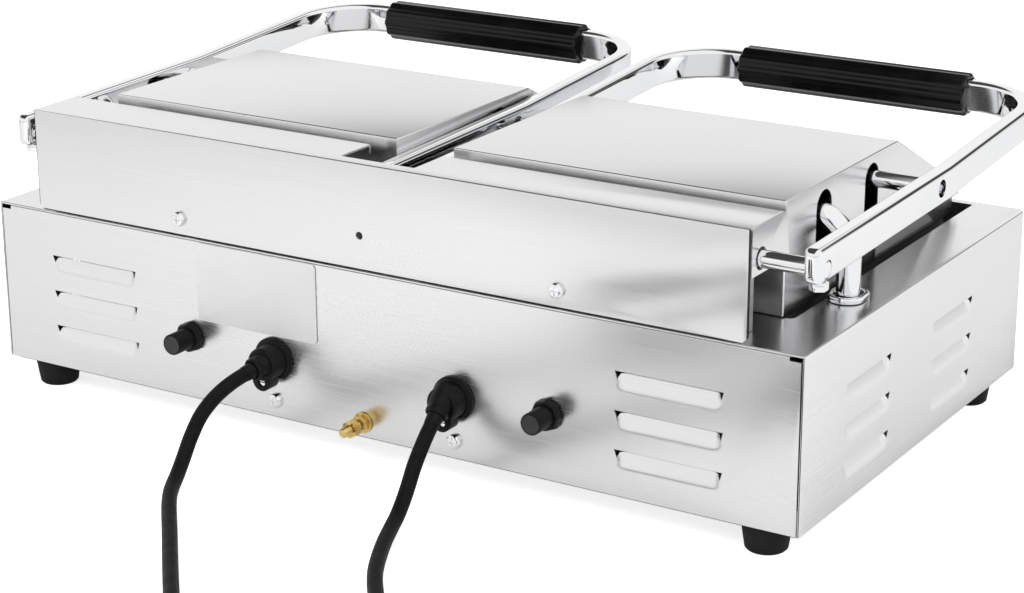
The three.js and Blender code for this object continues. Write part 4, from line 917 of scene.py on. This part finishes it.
# One scoop facing -Y, with the middle of its foot at the origin
def makeScoop(length):
    wide = length + 2 * louvre["border"]
    tall = louvre["tall"] + louvre["border"]
    bpy.ops.mesh.primitive_grid_add(x_subdivisions=round(wide / louvre["step"]),
                                    y_subdivisions=round(tall / louvre["step"]), size=1,
                                    location=(0, 0, (louvre["tall"] - louvre["border"]) / 2),
                                    rotation=(math.pi / 2, 0, 0))
    scoop = bpy.context.object
    scoop.scale = (wide, tall, 1)
    applyPlace(scoop)
    soft, corner = louvre["soft"], louvre["corner"]
    for vertex in scoop.data.vertices:
        rise = clamped(vertex.co.z / louvre["tall"])
        sink = (math.hypot(rise, soft) - soft) / (math.hypot(1, soft) - soft)
        low = max(corner - vertex.co.z, 0)
        half = length / 2 - corner + math.sqrt(max(corner * corner - low * low, 0))
        end = clamped((half - abs(vertex.co.x)) / louvre["ends"])
        vertex.co.y += louvre["deep"] * sink * end * end * (3 - 2 * end)
        vertex.co.z -= louvre["slit"] * rise * clamped((length / 2 - abs(vertex.co.x)) / louvre["slitEnd"])
    applyModifier(scoop, "SOLIDIFY", thickness=louvre["sheet"], offset=-1)
    for side in (-1, 1):
        carve(scoop, makeNotch(side * length / 2, side))
    return scoop


# Cuts the flat places out of a panel and sets scoops in them
def addLouvres(panel, facts):
    scoop = makeScoop(facts["length"])
    turn = Matrix.Rotation(math.radians(facts["turn"]), 4, "Z")
    inward, deep = louvre["window"]
    size = (facts["length"] + 2 * louvre["border"], deep, louvre["tall"] + louvre["border"])
    copies = []
    for x, y in facts["spots"]:
        for row in range(louvre["rows"]):
            bottom = facts["top"] - row * louvre["pitch"] - louvre["tall"]
            place = Matrix.Translation((x, y, bottom)) @ turn
            window = applyPlace(brick((0, inward, (louvre["tall"] - louvre["border"]) / 2), size))
            window.matrix_world = place
            carve(panel, window)
            copy = newObject("scoop", scoop.data.copy())
            copy.matrix_world = place
            copies.append(applyPlace(copy))
    bpy.data.objects.remove(scoop, do_unlink=True)
    return joinAll(panel, *copies)


# The rear panel stands clear of the side walls, whose rear ends beside it get painted shade for the dark gap
seam = {"gap": 0.0006, "sheet": 0.0012, "cut": 0.0006, "middle": 0.0025, "reach": 0.2785, "rear": 0.1670,
        "facing": 0.9}


def makeRearPanel():
    low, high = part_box("rear_panel")
    panel = folded("rear_panel", bends["rear_panel"])
    for vertex in panel.data.vertices:
        if vertex.co.x < low.x + seam["sheet"]:
            vertex.co.x += seam["gap"]
        if vertex.co.x > high.x - seam["sheet"]:
            vertex.co.x -= seam["gap"]
    panel = standIn(addLouvres(panel, rearLouvres), "rear_panel", 25)
    # The panel's bottom edge faces get painted shade
    paintFaces(panel, "cutEdge", lambda face: isCut(face, low.z + seam["cut"]))


# Rear ends of the side walls beside the rear panel, which get painted shade
def isSeam(face):
    outside = abs(face.center.x - seam["middle"]) > seam["reach"]
    return outside and face.normal.y > seam["facing"] and face.center.y > seam["rear"]


def makeBaseShell():
    shell = folded("base_shell", bends["base_shell"])
    for name in sides:
        shell = addLouvres(shell, sideLouvres[name])
    # The side walls' rear ends beside the panel get painted shade
    paintFaces(standIn(shell, "base_shell", 25), "cutEdge", isSeam)


makeRearPanel()
makeBaseShell()
print("louvres pressed")


# Clamped cord outlets, each with a tapered sleeve round its cord
gland = {
    "body": [(0, -0.010), (0.009, -0.010), (0.009, 0.0003), (0.0134, 0.0003), (0.0138, 0.0007),
             (0.0138, 0.0018), (0.0134, 0.0022), (0.0127, 0.0023), (0.0124, 0.0026), (0.0122, 0.0031),
             (0.0116, 0.0033), (0.0106, 0.0034), (0.0104, 0.0037), (0.0104, 0.0125), (0.0100, 0.0136),
             (0.0091, 0.0143), (0, 0.0143)],
    "sleeve": [(0, 0), (0.0076, 0), (0.0076, 0.0100), (0.0070, 0.0122), (0.0067, 0.0136), (0.0067, 0.0142),
               (0.0070, 0.0148), (0.0070, 0.0172), (0.0066, 0.0178), (0.0060, 0.0178), (0.0056, 0.0170),
               (0.0053, 0.0166), (0.0051, 0.0180), (0.0047, 0.0240), (0.0044, 0.0240), (0.0044, 0.0160),
               (0, 0.0160)],
    "inside": 0.018, "flat": 0.0105, "flatCut": (0.040, 0.012, 0.010), "flatAt": 0.005, "lobe": 0.0065,
    "drop": 0.010, "lobeSpan": (0.005, 0.0141), "slack": 0.00002, "edge": 0.0012,
}
clampScrew = {"radius": 0.0026, "below": 0.001, "hole": 0.003, "play": 0.0003, "thick": 0.001,
              "sunk": 0.0015, "slot": (0.006, 0.001, 0.0007)}


def makeGland(name):
    way, mouth = exitOf(cords[name])
    x, y, z = cords[name]["gland"]
    body = turned(gland["body"], (x, y, z), backward, 72)
    below = z - gland["flat"] - gland["flatCut"][2] / 2
    carve(body, brick((x, y + gland["flatAt"], below), gland["flatCut"]))
    start, stop = gland["lobeSpan"]
    middle, long = y + (start + stop) / 2, stop - start
    lobe = bar("y", (x, middle, z - gland["drop"]), gland["lobe"], long, 40)
    neck = brick((x, middle, z - gland["drop"] / 2),
                 (2 * gland["lobe"] - gland["slack"], long - gland["slack"], gland["drop"]))
    combine(lobe, "UNION", neck)
    softEdges(lobe, gland["edge"], 3)
    face, radius = y + stop, clampScrew["radius"]
    centre = z - gland["drop"] - clampScrew["below"]
    carve(lobe, bar("y", (x, face, centre), radius, clampScrew["hole"], 24))
    at = face - clampScrew["sunk"]
    head = bar("y", (x, at, centre), radius - clampScrew["play"], clampScrew["thick"], 24)
    carve(head, brick((x, at + clampScrew["thick"] / 2, centre), clampScrew["slot"]))
    sleeve = turned(gland["sleeve"], mouth - way * gland["inside"], way)
    standIn(joinAll(body, lobe, sleeve), f"cord_gland_{name}", 35)
    settle(head, f"clampScrew.{name}", "chromePlate", "base")


# Safety cut-out buttons in faceted collars
reset = {
    "collar": [(0.0069, 0.0003), (0.0091, 0.0003), (0.0098, 0.0012), (0.0098, 0.0026), (0.0090, 0.0050),
               (0.0084, 0.0055), (0.0069, 0.0055), (0.0069, 0.0003)],
    "facets": 8,
    "tube": [(0.0069, -0.014), (0.008, -0.014), (0.008, 0.0004), (0.0069, 0.0004), (0.0069, -0.014)],
    "button": [(0, -0.0095), (0.0066, -0.0095), (0.0066, 0.0193), (0.0064, 0.0198), (0.0059, 0.0200),
               (0.0056, 0.0199), (0, 0.0199)],
    "spots": {"left": (-0.124, rearY, 0.058), "right": (0.134, rearY, 0.058)}, "facing": 0.99,
}


def makeReset(name):
    spot = reset["spots"][name]
    collar = turned(reset["collar"], spot, backward, reset["facets"])
    tube = turned(reset["tube"], spot, backward)
    standIn(joinAll(collar, tube), f"reset_collar_{name}", 22)
    button = standIn(turned(reset["button"], spot, backward), f"reset_button_{name}", 25)
    # The button's end face gets a lighter black, a painted sheen
    paintFaces(button, "buttonCap", lambda face: face.normal.y > reset["facing"])


# Brass bonding stud with its thread, washer and nuts
stud = {"spot": (0.005, rearY, 0.0268), "radius": 0.003, "reach": 0.022, "deep": 0.008, "pitch": 0.0008,
        "cut": 0.00045, "tip": 0.0006, "point": 0.0003, "nut": 0.0056, "nutThick": 0.005,
        "nutsAt": (0.0017, 0.010), "nutEdge": 0.0007, "nutOver": 0.0001, "nutSlope": 0.6,
        "washer": (0.0065, 0.0014), "washerAt": 0.0003, "edge": 0.0003}


def makeNut(middle):
    nut = bar("y", middle, stud["nut"], stud["nutThick"], 6)
    half, edge, widest = stud["nutThick"] / 2, stud["nutEdge"], stud["nut"] + stud["nutOver"]
    flank = half - edge * stud["nutSlope"]
    cone = turned([(0, -half), (stud["nut"] - edge, -half), (widest, -flank), (widest, flank),
                   (stud["nut"] - edge, half), (0, half)], middle, backward)
    return combine(nut, "INTERSECT", cone)


def makeStud():
    x, y, z = stud["spot"]
    radius, low = stud["radius"], stud["radius"] - stud["cut"]
    thread = [(0, -stud["deep"]), (low, -stud["deep"])]
    count = round((stud["reach"] + stud["deep"] - 2 * stud["tip"]) / stud["pitch"])
    for i in range(count):
        along = stud["tip"] - stud["deep"] + i * stud["pitch"]
        thread += [(low, along), (radius, along + stud["pitch"] / 2)]
    thread += [(low, stud["reach"] - stud["tip"]), (low - stud["point"], stud["reach"]), (0, stud["reach"])]
    wide, thick = stud["washer"]
    washer = bar("y", (x, y + stud["washerAt"] + thick / 2, z), wide, thick)
    parts = [turned(thread, (x, y, z), backward, 40), softEdges(washer, stud["edge"])]
    parts += [makeNut((x, y + at + stud["nutThick"] / 2, z)) for at in stud["nutsAt"]]
    standIn(joinAll(*parts), "terminal_stud", 30, "bondingStud")


plate = {"corner": 0.0028, "edge": 0.00015}


def makePlate():
    low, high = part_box("rating_plate")
    obj = roundCorners(brick((low + high) / 2, high - low), 1, plate["corner"])
    standIn(softEdges(obj, plate["edge"]), "rating_plate")


for name in sides:
    makeGland(name)
    makeReset(name)
makeStud()
makePlate()
print("rear fittings made")


# Thermostat knobs, each with a dial printed on the panel
knob = {"radius": 0.019, "face": 0.016, "gap": 0.001, "rim": 0.003, "shoulder": (0.017, 0.0052),
        "deep": 0.017, "ridge": 0.005, "ridgeInset": 0.0003, "ridgeEdge": 0.0012, "edge": 0.0006,
        "flutes": 24, "flute": 0.0006, "stem": 0.003, "stemReach": 0.014, "bore": 0.0053,
        "boreDeep": 0.0066, "mark": (0.0011, 0.0006, 0.009), "markInset": 0.0015, "markSunk": 0.0001,
        "markEdge": 0.0002}
dial = {"radius": 0.0265, "tick": (0.0006, 0.0001, 0.0022), "tickRadius": 0.0222, "small": 0.6, "sweep": 270,
        "step": 45, "numbers": [0, 50, 100, 150, 200, 250, 300], "spread": 0.0012, "size": 0.0046,
        "thick": 0.00006}


def makeKnob(name):
    pivot = pivots[f"{name}_knob_turn"]
    front = Vector(forward)
    gap, edge, face = knob["gap"], knob["edge"], knob["face"]
    tip, rim = gap + knob["deep"], gap + knob["rim"]
    skirt = turned([(knob["bore"], gap), (knob["radius"] - edge, gap), (knob["radius"], gap + edge),
                    (knob["radius"], rim - edge), (knob["radius"] - edge, rim), knob["shoulder"],
                    (face, tip - 2 * edge), (face - edge, tip - edge * 0.5), (face - 2 * edge, tip),
                    (0, tip), (0, knob["boreDeep"]), (knob["bore"], knob["boreDeep"]), (knob["bore"], gap)],
                   pivot, forward, 144)
    for vertex in skirt.data.vertices:
        arm = Vector((vertex.co.x - pivot.x, 0, vertex.co.z - pivot.z))
        if pivot.y - vertex.co.y < rim or arm.length < face - 3 * edge:
            continue
        turn = math.atan2(arm.z, arm.x)
        arm *= 1 - knob["flute"] / face * math.sin(turn * knob["flutes"] / 2) ** 2
        vertex.co.x, vertex.co.z = pivot.x + arm.x, pivot.z + arm.z
    ridge = brick(pivot + front * (tip + knob["ridge"] / 2 - knob["rim"] / 2),
                  (knob["ridge"], knob["ridge"] + knob["rim"], 2 * (face - knob["ridgeInset"])))
    softEdges(ridge, knob["ridgeEdge"], 4)
    stem = bar("y", pivot + front * ((tip - knob["rim"] - knob["stemReach"]) / 2), knob["stem"],
               tip - knob["rim"] + knob["stemReach"], 32)
    standIn(joinAll(skirt, ridge, stem), f"knob_{name}", 35)
    wide, thick, long = knob["mark"]
    spot = pivot + front * (tip + knob["ridge"] - knob["markSunk"])
    spot.z += face - long / 2 - knob["markInset"]
    mark = softEdges(brick(spot, (wide, thick, long)), knob["markEdge"])
    settle(mark, f"knobMark.{name}", "printPaint", f"{name}_knob")


def makeDial(name):
    pivot = pivots[f"{name}_knob_turn"]
    wide, thick, long = dial["tick"]
    parts = []
    for i in range(2 * (dial["sweep"] // dial["step"]) + 1):
        turn = math.radians(i * dial["step"] / 2)
        way = Vector((math.sin(turn), 0, math.cos(turn)))
        spot = pivot + way * dial["tickRadius"] + Vector((0, -thick / 2, 0))
        tick = brick(spot, (wide, thick, long * (1 if i % 2 == 0 else dial["small"])))
        tick.rotation_euler = (0, turn, 0)
        parts.append(applyPlace(tick))
    for i, number in enumerate(dial["numbers"]):
        turn = math.radians(i * dial["step"])
        reach = dial["radius"] + dial["spread"] * abs(math.sin(turn)) * (len(str(number)) - 1)
        spot = pivot + Vector((math.sin(turn), 0, math.cos(turn))) * reach
        bpy.ops.object.text_add(location=spot, rotation=(math.pi / 2, 0, 0))
        text = bpy.context.object.data
        text.body = str(number)
        text.size = dial["size"]
        text.align_x = "CENTER"
        text.align_y = "CENTER"
        text.extrude = dial["thick"]
        bpy.ops.object.convert(target="MESH")
        parts.append(applyPlace(bpy.context.object))
    settle(joinAll(*parts), f"dial.{name}", "markPaint", "base")


# Rockers keep the CAD shape with soft edges, and carry the marks for on and off
rocker = {"soft": 0.0006, "longest": 0.0005, "line": (0.0008, 0.0003, 0.0042), "ring": (0.0019, 0.0004)}


def makeSwitch(name):
    obj = folded(f"rocker_{name}", rocker["soft"], rocker["longest"], 3, 20)
    faces = sorted(obj.data.polygons, key=lambda face: face.area * max(-face.normal.y, 0))[-2:]
    places = sorted([(face.center.copy(), face.normal.copy()) for face in faces], key=lambda pair: pair[0].z)
    standIn(obj, f"rocker_{name}", 30)
    line = brick((0, 0, 0), rocker["line"])
    major, minor = rocker["ring"]
    bpy.ops.mesh.primitive_torus_add(major_radius=major, minor_radius=minor, major_segments=40,
                                     minor_segments=8, rotation=(math.pi / 2, 0, 0))
    ring = bpy.context.object
    for mark, (spot, way) in ((line, places[1]), (ring, places[0])):
        applyPlace(mark)
        tilt = Vector(forward).rotation_difference(way).to_matrix().to_4x4()
        mark.matrix_world = Matrix.Translation(spot) @ tilt
        applyPlace(mark)
    settle(joinAll(line, ring), f"rockerMarks.{name}", "printPaint", f"{name}_rocker")
    frameCopy = folded(f"switch_housing_{name}", rocker["soft"], rocker["longest"], 3, 50)
    standIn(frameCopy, f"switch_housing_{name}", 30)


lamp = {"lens": [(0, -0.016), (0.005, -0.016), (0.005, 0.0003), (0.0062, 0.0003), (0.0062, 0.0009),
                 (0.0052, 0.0012), (0.0050, 0.0020), (0.0046, 0.0032), (0.0037, 0.0041), (0.0022, 0.0046),
                 (0, 0.0048)],
        "ring": [(0.0053, 0.0010), (0.0061, 0.0003), (0.0065, 0.0006), (0.0065, 0.0013), (0.0061, 0.0018),
                 (0.0055, 0.0018), (0.0053, 0.0010)]}


def makeLamp(name):
    low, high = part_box(f"indicator_lamp_{name}")
    spot = ((low.x + high.x) / 2, frontY, (low.z + high.z) / 2)
    standIn(turned(lamp["lens"], spot, forward), f"indicator_lamp_{name}", 40, f"lampLens.{name}")
    settle(turned(lamp["ring"], spot, forward), f"lampRing.{name}", "chromePlate", "base", 40)


for name in sides:
    makeKnob(name)
    makeDial(name)
    makeSwitch(name)
    makeLamp(name)
print("front controls made")


# Castings and small pieces keep the CAD shape with soft edges
softened = {"conduit_collar_{}": 0.0008, "drip_tray": 0.0004, "lower_plate_{}": 0.0004,
            "upper_plate_{}": 0.0004}
softest = {"longest": 0.0008, "segments": 2, "sharpest": 30}
for pattern, width in softened.items():
    for nodeName in dict.fromkeys(pattern.format(name) for name in sides):
        standIn(folded(nodeName, width, **softest), nodeName)
print("castings softened")


# Studio: spans are those of the direction's X, Y or Z over which the dark parts of the world fade in
studio = {"floorSize": 14, "floorColour": 0.88, "floorRough": 0.9, "floorSpecular": 0.1, "floorGlow": 0.75,
          "mirroredGlow": 0.09, "world": 0.5,
          "ceiling": 0.06, "ceilingRise": (0.50, 0.65), "ceilingAside": (0.05, 0.20), "screen": 0.08,
          "screenRise": (0.05, 0.13), "screenTop": (0.50, 0.65), "screenAside": (-0.20, -0.05),
          "screenEnd": (-0.66, -0.54), "screenFront": (-0.30, -0.10)}


def rayIs(tree, kind):
    return addNode(tree, "ShaderNodeLightPath").outputs[f"Is {kind} Ray"]


# 1 for what the camera, a reflection or glass sees directly
def raySeen(tree):
    first = mathOf(tree, "MAXIMUM", rayIs(tree, "Camera"), rayIs(tree, "Glossy"))
    return mathOf(tree, "MAXIMUM", first, rayIs(tree, "Transmission"))


def makeFloor():
    bpy.ops.mesh.primitive_plane_add(size=studio["floorSize"], location=(0, 0, 0))
    floor = bpy.context.object
    floor.name = "studioFloor"
    material, tree, shader = newMaterial("studioFloor")
    shader.inputs["Base Color"].default_value = (*grey(studio["floorColour"]), 1)
    shader.inputs["Roughness"].default_value = studio["floorRough"]
    shader.inputs["Specular IOR Level"].default_value = studio["floorSpecular"]
    shader.inputs["Emission Color"].default_value = (1, 1, 1, 1)
    glow = mixNumbers(tree, rayIs(tree, "Camera"), studio["mirroredGlow"], studio["floorGlow"])
    tree.links.new(mathOf(tree, "MULTIPLY", raySeen(tree), glow), shader.inputs["Emission Strength"])
    floor.data.materials.append(material)


# White all round as seen. Reflections find a dark ceiling over +X and a dark screen in front on the -X side
def makeWorld():
    world = bpy.data.worlds.new("studioWorld")
    bpy.context.scene.world = world
    world.use_nodes = True
    tree = world.node_tree
    back = tree.nodes["Background"]
    back.inputs["Color"].default_value = (1, 1, 1, 1)
    axes = axesOf(tree, "Generated")

    def fade(axis, low, high, span):
        return rangeOf(tree, axes[axis], low, high, *studio[span])

    overhead = mathOf(tree, "MULTIPLY", fade("Z", 0, 1, "ceilingRise"), fade("X", 0, 1, "ceilingAside"))
    upright = mathOf(tree, "MULTIPLY", fade("Z", 0, 1, "screenRise"), fade("Z", 1, 0, "screenTop"))
    aside = mathOf(tree, "MULTIPLY", fade("X", 1, 0, "screenAside"), fade("X", 0, 1, "screenEnd"))
    ahead = mathOf(tree, "MULTIPLY", aside, fade("Y", 1, 0, "screenFront"))
    screen = mathOf(tree, "MULTIPLY", upright, ahead)
    mirrored = mathOf(tree, "MULTIPLY", rangeOf(tree, overhead, 1, studio["ceiling"], 0, 1),
                      rangeOf(tree, screen, 1, studio["screen"], 0, 1))
    seen = mixNumbers(tree, rayIs(tree, "Camera"), mirrored, 1)
    strength = mixNumbers(tree, raySeen(tree), studio["world"], seen)
    tree.links.new(strength, back.inputs["Strength"])


lamps = {
    "overhead": {"spot": (0.2, 0.1, 2.2), "aim": (0, 0, 0.1), "size": (2.0, 1.6), "power": 11},
    "rear": {"spot": (0.15, 1.0, 0.9), "aim": (0.06, 0.35, 0), "size": (0.7, 0.5), "power": 5},
    "side": {"spot": (-2.2, -0.8, 1.2), "aim": (-0.3, -0.3, 0), "size": (1.4, 1.2), "power": 26},
}


# Soft lamps that no reflection shows
def makeLamps():
    for name, facts in lamps.items():
        bpy.ops.object.light_add(type="AREA", location=facts["spot"])
        light = bpy.context.object
        light.name = f"lamp.{name}"
        light.data.shape = "RECTANGLE"
        light.data.size, light.data.size_y = facts["size"]
        light.data.energy = facts["power"]
        light.visible_glossy = False
        way = Vector(facts["aim"]) - Vector(facts["spot"])
        light.rotation_euler = way.to_track_quat("-Z", "Y").to_euler()


makeFloor()
makeWorld()
makeLamps()
bpy.context.scene.view_settings.view_transform = "Standard"
print("studio made")
